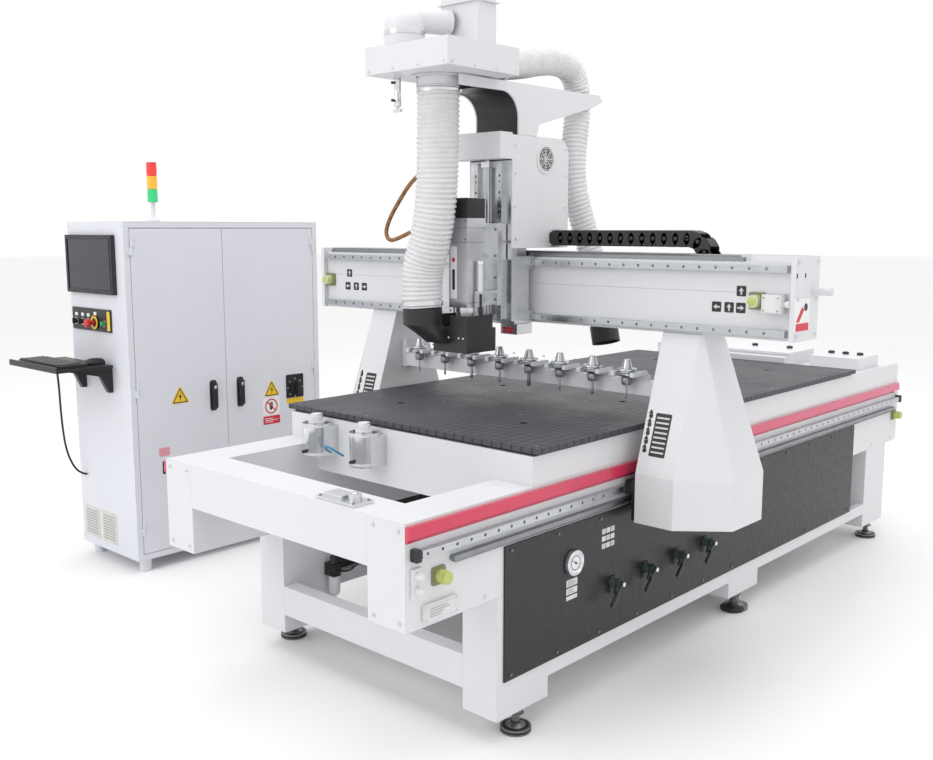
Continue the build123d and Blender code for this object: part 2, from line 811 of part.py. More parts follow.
stack_spot = (cabinet_right - 110, cabinet_front + 220)
with BuildPart() as stack_light:
    rod((*stack_spot, cabinet_top + 6), 30, 12)
    rod((*stack_spot, cabinet_top + 56), 10, 112)
    stack_low = cabinet_top + stack_lens_start
    for index in range(3):
        rod((*stack_spot, stack_low + (index + 0.5) * stack_lens_height), 24, stack_lens_height - 4)
        rod((*stack_spot, stack_low + (index + 1) * stack_lens_height - 1), 20, 6)
    rod((*stack_spot, stack_low + 3 * stack_lens_height + 4), 22, 8)
keep(stack_light, "stack_light")

# ================================================================ gantry
with BuildPart() as gantry_beam:
    tube_block(
        (-gantry_half, gantry_front, gantry_bottom), (gantry_half, gantry_rear, trough_low),
        along=0, wall=beam_wall,
    )
    tube_block(
        (-gantry_half, gantry_front, trough_low + seat_gap), (gantry_half, trough_front, gantry_top),
        along=0, wall=beam_wall,
    )
keep(gantry_beam, "gantry_beam")

cover_front_y = gantry_front - rail_height + 2
with BuildPart() as end_covers:
    for side in (-1, 1):
        edges = sorted((side * gantry_half, side * (gantry_half + end_cover_thickness)))
        block((edges[0], cover_front_y, gantry_bottom), (edges[1], gantry_rear, gantry_top + 20))
    block((tray_cap_left, gantry_front + 40, gantry_top), (gantry_half, trough_front, gantry_top + tray_cap_height))
    rod((gantry_half + end_cover_thickness + 31, gantry_rear - 40, 1400), 13, 62, axis="X")
    block((1045, gantry_front - 40, 1332), (1112, gantry_front, 1392))
    for spot_x in buffer_centres:
        rod((spot_x, gantry_front - 20, 1368), bumper_radius, 40, axis="Y")
keep(end_covers, "gantry_end_covers")

with BuildPart() as x_rails:
    bolts = int((2 * x_rail_half - 40) / rail_pitch)
    for level in x_rail_levels:
        face = Plane(origin=(0, gantry_front, level), x_dir=(1, 0, 0), z_dir=(0, -1, 0))
        with BuildSketch(face):
            Rectangle(2 * x_rail_half, rail_width)
        extrude(amount=rail_height)
        with BuildSketch(face.offset(rail_height)):
            with GridLocations(rail_pitch, 1, bolts, 1):
                Circle(rail_bolt_radius)
        extrude(amount=-rail_bolt_depth, mode=Mode.SUBTRACT)
keep(x_rails, "x_rails")

# the X rack lies on the beam's top, with its teeth up
with BuildPart() as x_rack:
    start = (x_rack_start, x_rack_front + rack_width, gantry_top)
    with BuildSketch(Plane(origin=start, x_dir=(1, 0, 0), z_dir=(0, 1, 0))):
        with BuildLine():
            Polyline(*rack_outline(2 * gantry_half - 200), close=True)
        make_face()
    extrude(amount=-rack_width)
keep(x_rack, "x_rack")

with BuildPart() as cable_tray:
    block((tray_left, tray_front, tray_low), (tray_right, gantry_rear, tray_low + tray_height))
    block(
        (tray_left, tray_front + tray_wall, tray_low + tray_wall),
        (tray_right, gantry_rear - tray_wall, tray_low + tray_height),
        mode=Mode.SUBTRACT,
    )
keep(cable_tray, "cable_tray")


def leg_section(outer, front, rear, corner_x, corner_y, inset=0.0):
    """Six corners of a leg's outline in plan for the right-hand side, optionally shrunk by `inset`."""
    inner_edge = leg_inner + inset
    outer_edge = outer - inset
    front_edge = front + inset
    rear_edge = rear - inset
    return [
        (inner_edge, front_edge), (outer_edge - corner_x, front_edge), (outer_edge, front_edge + corner_y),
        (outer_edge, rear_edge - corner_y), (outer_edge - corner_x, rear_edge), (inner_edge, rear_edge),
    ]


def leg_loft(inset, low_drop, mode):
    """The leg's tapered upper part as a ruled loft, and its straight lower box as an extrusion."""
    wide = leg_section(leg_outer_bottom, leg_front_bottom, leg_rear_bottom, *leg_corner, inset)
    narrow = leg_section(
        leg_outer_top, leg_head_front, gantry_rear, leg_top_corner, leg_top_corner, inset
    )
    with BuildSketch(Plane.XY.offset(leg_crease)) as crease:
        with BuildLine():
            Polyline(*wide, close=True)
        make_face()
    with BuildSketch(Plane.XY.offset(gantry_bottom - inset)) as head:
        with BuildLine():
            Polyline(*narrow, close=True)
        make_face()
    loft([crease.sketch, head.sketch], ruled=True, mode=mode)
    extrude(crease.sketch, amount=leg_bottom - low_drop - leg_crease, mode=mode)


with BuildPart() as right_leg:
    leg_loft(0.0, 0.0, Mode.ADD)
    leg_loft(leg_wall, 1.0, Mode.SUBTRACT)
    rod((leg_inner, y_pinion_y, pinion_z), motor_half + 4, 4 * leg_wall, axis="X", mode=Mode.SUBTRACT)
with BuildPart() as gantry_legs:
    add(right_leg.part)
    mirror(about=Plane.YZ)
keep(gantry_legs, "gantry_legs")

# plates, bearing blocks and drives that carry the gantry along the side beams
drive_plate_high = y_rail_z + 34
with BuildPart() as y_drive_units:
    for side in (-1, 1):
        plate = sorted((side * block_face, side * (leg_inner - seat_gap)))
        block(
            (plate[0], leg_front_bottom + 20, leg_bottom), (plate[1], leg_rear_bottom - 20, drive_plate_high)
        )
        for offset in (-150, 150):
            body = sorted((side * (frame_half + block_seat), side * block_face))
            middle = leg_middle + offset
            block(
                (body[0], middle - y_block_length / 2, y_rail_z - y_block_width / 2),
                (body[1], middle + y_block_length / 2, y_rail_z + y_block_width / 2),
            )
            slot = sorted((side * (frame_half + block_seat - 1), side * (rail_face + slide_gap)))
            block(
                (slot[0], middle - y_block_length, y_rail_z - rail_width / 2 - slide_gap),
                (slot[1], middle + y_block_length, y_rail_z + rail_width / 2 + slide_gap),
                mode=Mode.SUBTRACT,
            )
        gear_start = leg_inner + leg_wall + slide_gap
        gear_box = sorted((side * gear_start, side * (gear_start + gear_length)))
        block(
            (gear_box[0], y_pinion_y - motor_half, pinion_z - motor_half),
            (gear_box[1], y_pinion_y + motor_half, pinion_z + motor_half),
        )
        flange_length = leg_wall + 2 * slide_gap + seat_gap
        flange = side * (leg_inner - seat_gap + flange_length / 2)
        rod((flange, y_pinion_y, pinion_z), motor_half - 2, flange_length, axis="X")
        bore = side * (block_face + gear_start + gear_length) / 2
        bore_length = gear_start + gear_length - block_face + 2
        rod((bore, y_pinion_y, pinion_z), shaft_radius + run_fit, bore_length, axis="X", mode=Mode.SUBTRACT)
        motor_start = side * (gear_start + gear_length + motor_length / 2)
        rod((motor_start, y_pinion_y, pinion_z), motor_half - 4, motor_length, axis="X")
keep(y_drive_units, "y_drive_units")

with BuildPart() as y_pinions:
    for side in (-1, 1):
        start = side * (panel_face + slide_gap)
        with BuildSketch(Plane(origin=(start, y_pinion_y, pinion_z), x_dir=(0, 1, 0), z_dir=(1, 0, 0))):
            with BuildLine():
                Polyline(*pinion_outline(), close=True)
            make_face()
        extrude(amount=side * (rack_width - panel_thickness - 2 * slide_gap))
        rod((start + side * shaft_length / 2, y_pinion_y, pinion_z), shaft_radius, shaft_length, axis="X")
keep(y_pinions, "y_pinions")

rack_top = tool_rack_bottom + tool_rack_height
tool_y = tool_rack_front + 25
tool_spots = [(index - (tool_count - 1) / 2) * tool_pitch for index in range(tool_count)]
fork_low = rack_top
fork_high = rack_top + 16
with BuildPart() as tool_rack:
    block((-tool_rack_half, tool_rack_front, tool_rack_bottom), (tool_rack_half, tool_rack_front + 50, rack_top))
    for side in (-1, 1):
        bracket = sorted((side * tool_rack_half, side * (leg_inner - seat_gap)))
        block(
            (bracket[0], tool_rack_front + 4, tool_rack_bottom - 6),
            (bracket[1], tool_rack_front + 90, rack_top + 60),
        )
    for spot in tool_spots:
        block((spot - 52, tool_rack_front + 2, fork_low), (spot + 52, tool_rack_front + 48, fork_high))
        for side in (-1, 1):
            arm = sorted((spot + side * (holder_radius + 2), spot + side * (holder_radius + 18)))
            block(
                (arm[0], tool_rack_front - 62, fork_low + 18), (arm[1], tool_rack_front + 30, fork_low + 34)
            )
            block((arm[0], tool_rack_front + 4, fork_low), (arm[1], tool_rack_front + 30, fork_low + 34))
keep(tool_rack, "tool_rack")

# tapered tool holders with their cutters, held by the forks at the groove of their flange
holder_y = tool_rack_front - 30
with BuildPart() as tool_holders:
    flange_low = fork_low + 18 + 16 + slide_gap
    for spot in tool_spots:
        rod((spot, holder_y, flange_low + 5), holder_radius + 4, 10)
        with Locations((spot, holder_y, flange_low + 10)):
            Cone(17, 12, 32, align=(Align.CENTER, Align.CENTER, Align.MIN))
        rod((spot, holder_y, flange_low - 22), 22, 44)
        rod((spot, holder_y, flange_low - 70), 5, 60)
keep(tool_holders, "tool_holders")

chain_low = tray_low + tray_wall + slide_gap
chain_high = chain_low + 2 * chain_bend
with BuildPart() as energy_chain:
    bend = chain_bend
    with BuildSketch(Plane.XZ.offset(-chain_front)):
        with BuildLine():
            Line((chain_anchor, chain_low), (chain_bend_x, chain_low))
            ThreePointArc(
                (chain_bend_x, chain_low), (chain_bend_x + bend, chain_low + bend), (chain_bend_x, chain_high)
            )
            Line((chain_bend_x, chain_high), (chain_start, chain_high))
            Line((chain_start, chain_high), (chain_start, chain_high - chain_link))
            Line((chain_start, chain_high - chain_link), (chain_bend_x, chain_high - chain_link))
            ThreePointArc(
                (chain_bend_x, chain_high - chain_link),
                (chain_bend_x + bend - chain_link, chain_low + bend),
                (chain_bend_x, chain_low + chain_link),
            )
            Line((chain_bend_x, chain_low + chain_link), (chain_anchor, chain_low + chain_link))
            Line((chain_anchor, chain_low + chain_link), (chain_anchor, chain_low))
        make_face()
    extrude(amount=-chain_width)
keep(energy_chain, "x_energy_chain")

# ================================================================ carriage on the X rails
pinion_gap = 12.0  # from the motor bracket to the pinion
bracket_rear = gantry_front - slide_gap
bracket_half = 50.0
bracket_low = carriage_block_top - 4
bracket_high = x_pinion_z + motor_half + 8
label_block = ((25, 1070, 1204), (105, 1158, carriage_low))  # clear of the legs' sloping fronts
with BuildPart() as carriage_plate:
    block(
        (-carriage_half, carriage_front, carriage_bottom),
        (carriage_half, carriage_front + carriage_plate_thickness, column_bottom - slide_gap),
    )
    upper_half = carriage_half - column_sheet - seat_gap
    block(
        (-upper_half, carriage_front, column_bottom - slide_gap),
        (upper_half, carriage_front + carriage_plate_thickness, carriage_top),
    )
    spacer_front = carriage_front + carriage_plate_thickness
    tube_block(
        (-spacer_half, spacer_front, carriage_low), (spacer_half, carriage_back, carriage_block_top),
        along=2, wall=12.0,
    )
    for level in x_rail_levels:
        for side in (-1, 1):
            middle = side * x_block_offset
            block(
                (middle - x_block_length / 2, carriage_back, level - y_block_width / 2),
                (middle + x_block_length / 2, gantry_front - block_seat, level + y_block_width / 2),
            )
        block(
            (-carriage_half, gantry_front - rail_height - slide_gap, level - rail_width / 2 - slide_gap),
            (carriage_half, gantry_front, level + rail_width / 2 + slide_gap),
            mode=Mode.SUBTRACT,
        )
    for side in (-1, 1):
        rib = sorted((side * bracket_half, side * (bracket_half - 8)))
        block((rib[0], spacer_front, bracket_low), (rib[1], bracket_rear, bracket_high))
    block((-bracket_half, bracket_rear - 10, bracket_low), (bracket_half, bracket_rear, bracket_high))
    rod((x_pinion_x, bracket_rear, x_pinion_z), pinion_shaft + run_fit, 40, axis="Y", mode=Mode.SUBTRACT)
    block(*label_block)
    for level in (carriage_bottom + 2, carriage_top - bearing_height - 2):
        block(
            (-bearing_half, slide_front + slide_thickness + slide_gap, level),
            (bearing_half, carriage_front, level + bearing_height),
        )
        rod((0, screw_y, level + bearing_height / 2), screw_radius + run_fit, 2 * bearing_height,
            mode=Mode.SUBTRACT)
keep(carriage_plate, "carriage_plate")

with BuildPart() as z_rails:
    for side in (-1, 1):
        with BuildSketch(Plane.XZ.offset(-carriage_front)):
            with Locations((side * z_rail_offset, (carriage_bottom + carriage_top) / 2)):
                Rectangle(z_rail_width, carriage_top - carriage_bottom - 12)
        extrude(amount=z_rail_height)
        rail_bolts = int((carriage_top - carriage_bottom - 40) / rail_pitch)
        with BuildSketch(Plane.XZ.offset(-carriage_front + z_rail_height)):
            with Locations((side * z_rail_offset, (carriage_bottom + carriage_top) / 2)):
                with GridLocations(1, rail_pitch, 1, rail_bolts):
                    Circle(rail_bolt_radius)
        extrude(amount=-rail_bolt_depth, mode=Mode.SUBTRACT)
keep(z_rails, "z_rails")

with BuildPart() as z_screw:
    low = carriage_bottom + 2 + 1
    high = housing_low + 12
    rod((0, screw_y, (low + high) / 2), screw_radius, high - low)
    rod((0, screw_y, high - 9), screw_radius + 8, 4)
keep(z_screw, "z_screw")

with BuildPart() as column_housing:
    # two side plates with a rounded rear top corner, a top and a rear plate
    for inset, mode in ((0.0, Mode.ADD), (column_sheet, Mode.SUBTRACT)):
        front = carriage_front - inset
        rear = column_rear - inset
        top = column_top - inset
        low = column_bottom - inset
        corner = rear_corner - inset
        with BuildSketch(Plane.YZ.offset(-carriage_half + inset)) as outline:
            with BuildLine():
                Line((front, low), (rear, low))
                Line((rear, low), (rear, top - corner))
                CenterArc((rear - corner, top - corner), corner, 0, 90)
                Line((rear - corner, top), (front, top))
                Line((front, top), (front, low))
            make_face()
        extrude(amount=2 * (carriage_half - inset), mode=mode)
    block((housing_left, housing_front, housing_low), (carriage_half, carriage_front, housing_top))
    block(
        (housing_left + column_sheet, housing_front + column_sheet, housing_low + column_sheet),
        (-carriage_half, carriage_front - column_sheet, housing_top - column_sheet),
        mode=Mode.SUBTRACT,
    )
    block(
        (-carriage_half, housing_front + column_sheet, housing_low + column_sheet),
        (carriage_half - column_sheet, carriage_front + 1, housing_top - column_sheet),
        mode=Mode.SUBTRACT,
    )
    rod((0, screw_y, housing_low), screw_radius + 10, 4 * column_sheet, mode=Mode.SUBTRACT)
    block(
        (carriage_half, chain_front + 4, chain_high - chain_link),
        (chain_start - slide_gap, chain_front + chain_width - 4, chain_high + 8),
    )
    # round fan opening with a crossed guard, and the bracket that carries the rotor's pin
    guard = carriage_half - column_sheet / 2
    rod((guard, fan_y, fan_z), fan_radius + 3, 2 * column_sheet, axis="X", mode=Mode.SUBTRACT)
    block((guard - 1, fan_y - 2, fan_z - fan_radius - 4), (guard + 1, fan_y + 2, fan_z + fan_radius + 4))
    block((guard - 1, fan_y - fan_radius - 4, fan_z - 2), (guard + 1, fan_y + fan_radius + 4, fan_z + 2))
    pin_end = guard - 4
    pin_start = pin_end - 28
    block((pin_start - 6, fan_y - 8, fan_z - 8), (pin_start, fan_y + 8, column_top))
    rod(((pin_start + pin_end) / 2, fan_y, fan_z), 4, pin_end - pin_start, axis="X")
keep(column_housing, "column_housing")

with BuildPart() as fan_rotor:
    middle_x = (pin_start + pin_end) / 2
    rod((middle_x, fan_y, fan_z), 13, 20, axis="X")
    blade = (fan_radius + 8) / 2
    with Locations(Plane(origin=(middle_x, fan_y, fan_z), x_dir=(0, 1, 0), z_dir=(1, 0, 0))):
        with PolarLocations(blade, blade_count):
            Box(fan_radius - 10, 3, 16, rotation=(28, 0, 0))
    rod((middle_x, fan_y, fan_z), 4 + run_fit, 40, axis="X", mode=Mode.SUBTRACT)
keep(fan_rotor, "fan_rotor")

with BuildPart() as carriage_motors:
    motor_rear = bracket_rear - 10 - seat_gap
    motor_front = spacer_front + 12
    block(
        (x_pinion_x - 30, motor_front, x_pinion_z - 30), (x_pinion_x + 30, motor_rear, x_pinion_z + 30)
    )
    rod((x_pinion_x, motor_rear, x_pinion_z), pinion_shaft + run_fit, 40, axis="Y", mode=Mode.SUBTRACT)
    top_low = high + slide_gap
    block((-30, screw_y - 30, top_low), (30, screw_y + 30, column_top - column_sheet - seat_gap))
keep(carriage_motors, "carriage_motors")

with BuildPart() as x_pinion:
    with BuildSketch(Plane(origin=(x_pinion_x, x_rack_front + 2, x_pinion_z), x_dir=(-1, 0, 0), z_dir=(0, 1, 0))):
        with BuildLine():
            Polyline(*pinion_outline(), close=True)
        make_face()
    extrude(amount=rack_width - 4)
    shaft_front = motor_rear - 18
    shaft_rear = x_rack_front + rack_width - 2
    rod((x_pinion_x, (shaft_front + shaft_rear) / 2, x_pinion_z), pinion_shaft, shaft_rear - shaft_front,
        axis="Y")
keep(x_pinion, "x_pinion")

# ================================================================ head arm, hood and ducts
arm_low = column_top + seat_gap
hose_top_centre = (-12.0, 772.0)
neck_front = 1071.0
neck_rear = 1176.0
with BuildPart() as head_arm:
    for inset, mode in ((0.0, Mode.ADD), (arm_plate, Mode.SUBTRACT)):
        with BuildSketch(Plane.YZ.offset(-carriage_half + inset)):
            with BuildLine():
                Line((neck_front, arm_low - inset), (neck_front, arm_low + 52))
                ThreePointArc((neck_front, arm_low + 52), (neck_front - 24, arm_low + 120), (985, 2086))
                Line((985, 2086), (arm_tip_front, 2084))
                Line((arm_tip_front, 2084), (arm_tip_front, arm_top + inset))
                Line((arm_tip_front, arm_top + inset), (arm_tip_rear - 22, arm_top + inset))
                Line((arm_tip_rear - 22, arm_top + inset), (arm_tip_rear, 2099))
                Line((arm_tip_rear, 2099), (1507, 2064))
                Line((1507, 2064), (1193, 1984))
                Line((1193, 1984), (neck_rear, arm_low - inset))
                Line((neck_rear, arm_low - inset), (neck_front, arm_low - inset))
            make_face()
        extrude(amount=2 * (carriage_half - inset), mode=mode)
    web_half = carriage_half - arm_plate
    block((-web_half, neck_front + 12, arm_low), (web_half, neck_rear, arm_low + arm_plate))
    plate_front = hose_top_centre[1] + hose_radius + 12
    block((-web_half, plate_front, arm_top - arm_plate), (web_half, hood_rear + 100, arm_top))
    block((-web_half, arm_tip_rear - 24, 2094), (web_half, arm_tip_rear - 8, 2106))
    with BuildSketch(Plane.YZ.offset(-web_half)):
        with BuildLine():
            Polyline(
                (neck_rear, arm_low), (1193, 1984), (1380, 2031.6), (1379, 2036.6), (1190, 1988.5),
                (neck_rear - 6, arm_low), close=True,
            )
        make_face()
    extrude(amount=2 * web_half)
keep(head_arm, "head_arm")

# a curved black liner follows the arm's front edge, from the hood down to the column
liner = 8.0
with BuildPart() as arm_liner:
    with BuildSketch(Plane.YZ.offset(-web_half + seat_gap)):
        with BuildLine():
            Line((neck_front + 2, arm_low), (neck_front + 2, arm_low + 52))
            ThreePointArc((neck_front + 2, arm_low + 52), (neck_front - 22, arm_low + 122), (985, 2088))
            Line((985, 2088), (plate_front, 2086))
            Line((plate_front, 2086), (plate_front, 2086 + liner))
            Line((plate_front, 2086 + liner), (985, 2088 + liner))
            ThreePointArc(
                (985, 2088 + liner), (neck_front - 16, arm_low + 128), (neck_front + 2 + liner, arm_low + 52)
            )
            Line((neck_front + 2 + liner, arm_low + 52), (neck_front + 2 + liner, arm_low))
            Line((neck_front + 2 + liner, arm_low), (neck_front + 2, arm_low))
        make_face()
    extrude(amount=2 * (web_half - seat_gap))
keep(arm_liner, "arm_liner")

collar_drop = 36.0
elbow_centre = (-110.0, 705.0)
elbow_level = 2290.0
elbow_outlet = 42.0
outlet_plane = Plane(origin=(*elbow_centre, elbow_level + 28), z_dir=(0.4, 0.917, 0))
outlet_length = 172.0
rear_collar_z = 2182.0
with BuildPart() as dust_hood:
    block((-hood_half, hood_front, hood_bottom), (hood_half, hood_rear, hood_top))
    block((-duct_half, duct_front, hood_top), (duct_half, hood_rear, duct_top))
    rod((*elbow_centre, (hood_top + elbow_level) / 2), elbow_radius, elbow_level - hood_top)
    with Locations((*elbow_centre, elbow_level)):
        Sphere(elbow_radius)
    with Locations(outlet_plane.location):
        Cylinder(elbow_outlet, outlet_length, align=(Align.CENTER, Align.CENTER, Align.MIN))
    rod((*hose_top_centre, hood_bottom - collar_drop / 2), hose_radius - hose_wall - 1, collar_drop)
    collar_middle = hood_rear + rear_collar_length / 2
    rod((rear_hose_x, collar_middle, rear_collar_z), rear_hose_radius - 4, rear_collar_length, axis="Y")
    # hollow inside: hood, duct, elbow and the two collars
    block(
        (-hood_half + hood_wall, hood_front + hood_wall, hood_bottom + hood_wall),
        (hood_half - hood_wall, hood_rear - hood_wall, hood_top - hood_wall),
        mode=Mode.SUBTRACT,
    )
    block(
        (-duct_half + hood_wall, duct_front + hood_wall, hood_top - 2 * hood_wall),
        (duct_half - hood_wall, hood_rear - hood_wall, duct_top + 1),
        mode=Mode.SUBTRACT,
    )
    elbow_low = hood_top - 2 * hood_wall
    rod((*elbow_centre, (elbow_low + elbow_level) / 2), elbow_radius - hood_wall, elbow_level - elbow_low,
        mode=Mode.SUBTRACT)
    with Locations((*elbow_centre, elbow_level)):
        Sphere(elbow_radius - hood_wall, mode=Mode.SUBTRACT)
    with Locations(outlet_plane.location):
        Cylinder(
            elbow_outlet - hood_wall, outlet_length + 2 * hood_wall,
            align=(Align.CENTER, Align.CENTER, Align.MIN), mode=Mode.SUBTRACT,
        )
    rod((*hose_top_centre, hood_bottom - 10), hose_radius - 2 * hose_wall - 2, 60, mode=Mode.SUBTRACT)
    rod((rear_hose_x, collar_middle - 4, rear_collar_z), rear_hose_radius - 8, rear_collar_length + 10,
        axis="Y", mode=Mode.SUBTRACT)
    # a small air cylinder under the hood's front left corner
    rod((-122, 680, hood_bottom - 52), 12, 104)
    rod((-122, 680, hood_bottom - 112), 5, 20)
    block((-140, 674, hood_bottom - 122), (-104, 686, hood_bottom - 112))
keep(dust_hood, "dust_hood")

rear_hose_route = [
    (rear_hose_x, hood_rear + rear_collar_length + seat_gap, rear_collar_z),
    (rear_hose_x - 2, 1140, 2196),
    (rear_hose_x - 4, 1262, 2224),
    (rear_hose_x - 5, 1378, 2238),
    (rear_hose_x - 5, 1480, 2216),
    (rear_hose_x - 5, 1517, 2126),
    (rear_hose_x - 3, 1508, 2010),
    (rear_hose_x + 4, 1478, 1894),
    (rear_hose_x + 12, 1472, 1778),
    (rear_hose_x + 26, 1498, 1664),
    (rear_hose_x + 46, 1530, 1550),
    (rear_hose_x + 74, 1540, 1436),
    (rear_hose_x + 110, 1526, 1324),
    (rear_hose_x + 142, 1514, 1214),
]
with BuildPart() as rear_hose:
    route_tube(rear_hose_route, rear_hose_radius, rear_hose_radius - hose_wall, "rear hose")
keep(rear_hose, "rear_hose")

hose_end = Vector(*rear_hose_route[-1])
hose_aim = (hose_end - Vector(*rear_hose_route[-2])).normalized()
with BuildPart() as hose_cuff:
    with BuildSketch(Plane(origin=hose_end + hose_aim * seat_gap, z_dir=hose_aim)):
        Circle(rear_hose_radius + 4)
        Circle(rear_hose_radius - 4, mode=Mode.SUBTRACT)
    extrude(amount=70)
keep(hose_cuff, "hose_cuff")

front_hose_route = [
    (*hose_top_centre, hood_bottom - collar_drop - seat_gap),
    (-14, 772, 1880),
    (-24, 772, 1690),
    (-58, 772, 1545),
    (-104, 772, 1435),
    (*port_centre, port_top + 1),
]
with BuildPart() as front_hose:
    route_tube(front_hose_route, hose_radius, hose_radius - hose_wall, "front hose")
keep(front_hose, "front_hose")

# ================================================================ Z slide with its spindle
guide_spots = (-spindle_half - 19, spindle_half + 19)
guide_y = spindle_axis_y + 5
guide_low = spindle_bottom + shroud_lift_room
with BuildPart() as z_slide:
    slide_back = slide_front + slide_thickness
    block((-slide_half, slide_front, slide_bottom), (slide_half, slide_back, slide_top))
    block((-spindle_half, spindle_rear + seat_gap, slide_bottom), (spindle_half, slide_front, slide_top))
    for side in (-1, 1):
        for level in z_block_levels:
            middle = side * z_rail_offset
            block(
                (middle - z_block_width / 2, slide_back, level - z_block_length / 2),
                (middle + z_block_width / 2, carriage_front - z_block_seat, level + z_block_length / 2),
            )
        slot = z_rail_width / 2 + slide_gap
        block(
            (side * z_rail_offset - slot, carriage_front - z_rail_height - slide_gap, slide_bottom),
            (side * z_rail_offset + slot, carriage_front, slide_top),
            mode=Mode.SUBTRACT,
        )
    nut_low = z_block_levels[0] + 10
    block((-bearing_half, slide_back, nut_low), (bearing_half, carriage_front - slide_gap, nut_low + 48))
    rod((0, screw_y, nut_low + 24), screw_radius + run_fit, 60, mode=Mode.SUBTRACT)
    # two guide cylinders for the dust shroud, on brackets beside the spindle
    for spot in guide_spots:
        edges = sorted((spot - 16, spot + 16))
        block((edges[0], guide_y - 16, guide_low), (edges[1], slide_front, guide_low + 10))
        rod((spot, guide_y, guide_low + guide_length / 2), guide_radius, guide_length)
        rod((spot, guide_y, guide_low + guide_length / 2 - 8), rod_radius + run_fit, guide_length,
            mode=Mode.SUBTRACT)
keep(z_slide, "z_slide")

with BuildPart() as spindle:
    block((-spindle_half, spindle_front, spindle_bottom), (spindle_half, spindle_rear, spindle_top))
    block(
        (-spindle_half + 1, spindle_front + 3, spindle_top), (spindle_half - 1, spindle_rear - 3, spindle_cap_top)
    )
    block((-spindle_half - box_length, spindle_front + 20, 1548), (-spindle_half, spindle_rear - 20, 1632))
    rod((-spindle_half - fitting_length / 2 + 5, 900, 1690), 11, fitting_length + 10, axis="X")
    rod((0, spindle_axis_y, (nose_bottom + spindle_bottom) / 2), nose_radius, spindle_bottom - nose_bottom)
    rod((0, spindle_axis_y, spindle_bottom - 10), spindle_half - 2, 20)
    rod((0, spindle_axis_y, nose_bottom + 30), chuck_radius + run_fit, 80, mode=Mode.SUBTRACT)
keep(spindle, "spindle")

with BuildPart() as spindle_nose:
    rod((0, spindle_axis_y, (collet_bottom + nose_bottom - slide_gap) / 2), collet_radius,
        nose_bottom - slide_gap - collet_bottom)
    rod((0, spindle_axis_y, nose_bottom + 30), chuck_radius, 64)
    rod((0, spindle_axis_y, (tool_tip + collet_bottom) / 2), tool_radius, collet_bottom - tool_tip)
keep(spindle_nose, "spindle_nose")

coolant_radius = 8.0
coolant_route = [
    (-spindle_half - fitting_length - seat_gap, 900, 1690),
    (-104, 900, 1692),
    (-152, 900, 1736),
    (-178, 900, 1788),
    (-232, 900, 1806),
    (-296, 900, 1762),
    (-352, 900, 1700),
    (-402, 900, 1640),
    (-430, 900, 1582),
    (-404, 900, 1548),
    (-340, 900, 1566),
    (-262, 900, 1594),
    (-176, 900, 1593),
    (-spindle_half - box_length - 1, 900, 1592),
]
with BuildPart() as coolant_line:
    route_tube(coolant_route, coolant_radius, 0, "coolant line")
keep(coolant_line, "coolant_line")

# ================================================================ dust shroud round the tool
with BuildPart() as dust_shroud:
    block((-shroud_half, shroud_front, shroud_bottom), (shroud_half, shroud_rear, shroud_deck))
    wing_start = port_centre[1] + hose_radius + 8
    block(
        (-shroud_half, wing_start, shroud_deck), (-shroud_half + shroud_wall, spindle_rear, shroud_wing_top)
    )
    block((shroud_half - shroud_wall, shroud_front, shroud_deck), (shroud_half, spindle_rear, shroud_wing_top))
    block((0, shroud_front, shroud_deck), (shroud_half, shroud_front + shroud_wall, shroud_wing_top))
    # the hose port tapers from a ring down into the front left corner
    for inset, mode in ((0.0, Mode.ADD), (shroud_wall, Mode.SUBTRACT)):
        with BuildSketch(Plane.XY.offset(port_low)) as ring:
            with Locations(port_centre):
                Circle(port_radius - inset)
        with BuildSketch(Plane.XY.offset(shroud_bottom + 34)) as foot:
            with Locations((-shroud_half + 42, shroud_front - 4)):
                Rectangle(84 - 2 * inset, 60 - 2 * inset)
        loft([foot.sketch, ring.sketch], mode=mode)
        extrude(ring.sketch, amount=port_top - port_low, mode=mode)
    block(
        (-shroud_half + shroud_wall, shroud_front + shroud_wall, shroud_bottom - 1),
        (shroud_half - shroud_wall, shroud_rear - shroud_wall, shroud_deck - shroud_wall),
        mode=Mode.SUBTRACT,
    )
    rod((0, spindle_axis_y, shroud_deck), nose_radius + 8, 4 * shroud_wall, mode=Mode.SUBTRACT)
    for spot in guide_spots:
        rod_top = guide_low + 22
        rod((spot, guide_y, (shroud_deck + rod_top) / 2), rod_radius, rod_top - shroud_deck)
keep(dust_shroud, "dust_shroud")

# ================================================================ place and export
os.makedirs("parts", exist_ok=True)
boxes = [piece.bounding_box() for piece in pieces.values()]
low_x = min(box.min.X for box in boxes)
high_x = max(box.max.X for box in boxes)
low_y = min(box.min.Y for box in boxes)
high_y = max(box.max.Y for box in boxes)
shift = Location((-(low_x + high_x) / 2, -(low_y + high_y) / 2, 0))
print("origin moved by", round(shift.position.X, 3), round(shift.position.Y, 3))
for name, piece in pieces.items():
    placed = piece.moved(shift)
    placed.label = name
    export_step(placed, f"parts/{name}.step")
print(len(pieces), "pieces")
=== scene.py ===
"""A CNC router with a moving gantry, an automatic tool changer and a control cabinet.

The packed frame gives every position. Shapes are written in bed millimetres: x from the middle of
the bed, y from its front face and z from the floor, and add_piece moves them into the frame.
"""

import json
from math import ceil, cos, pi, radians, sin

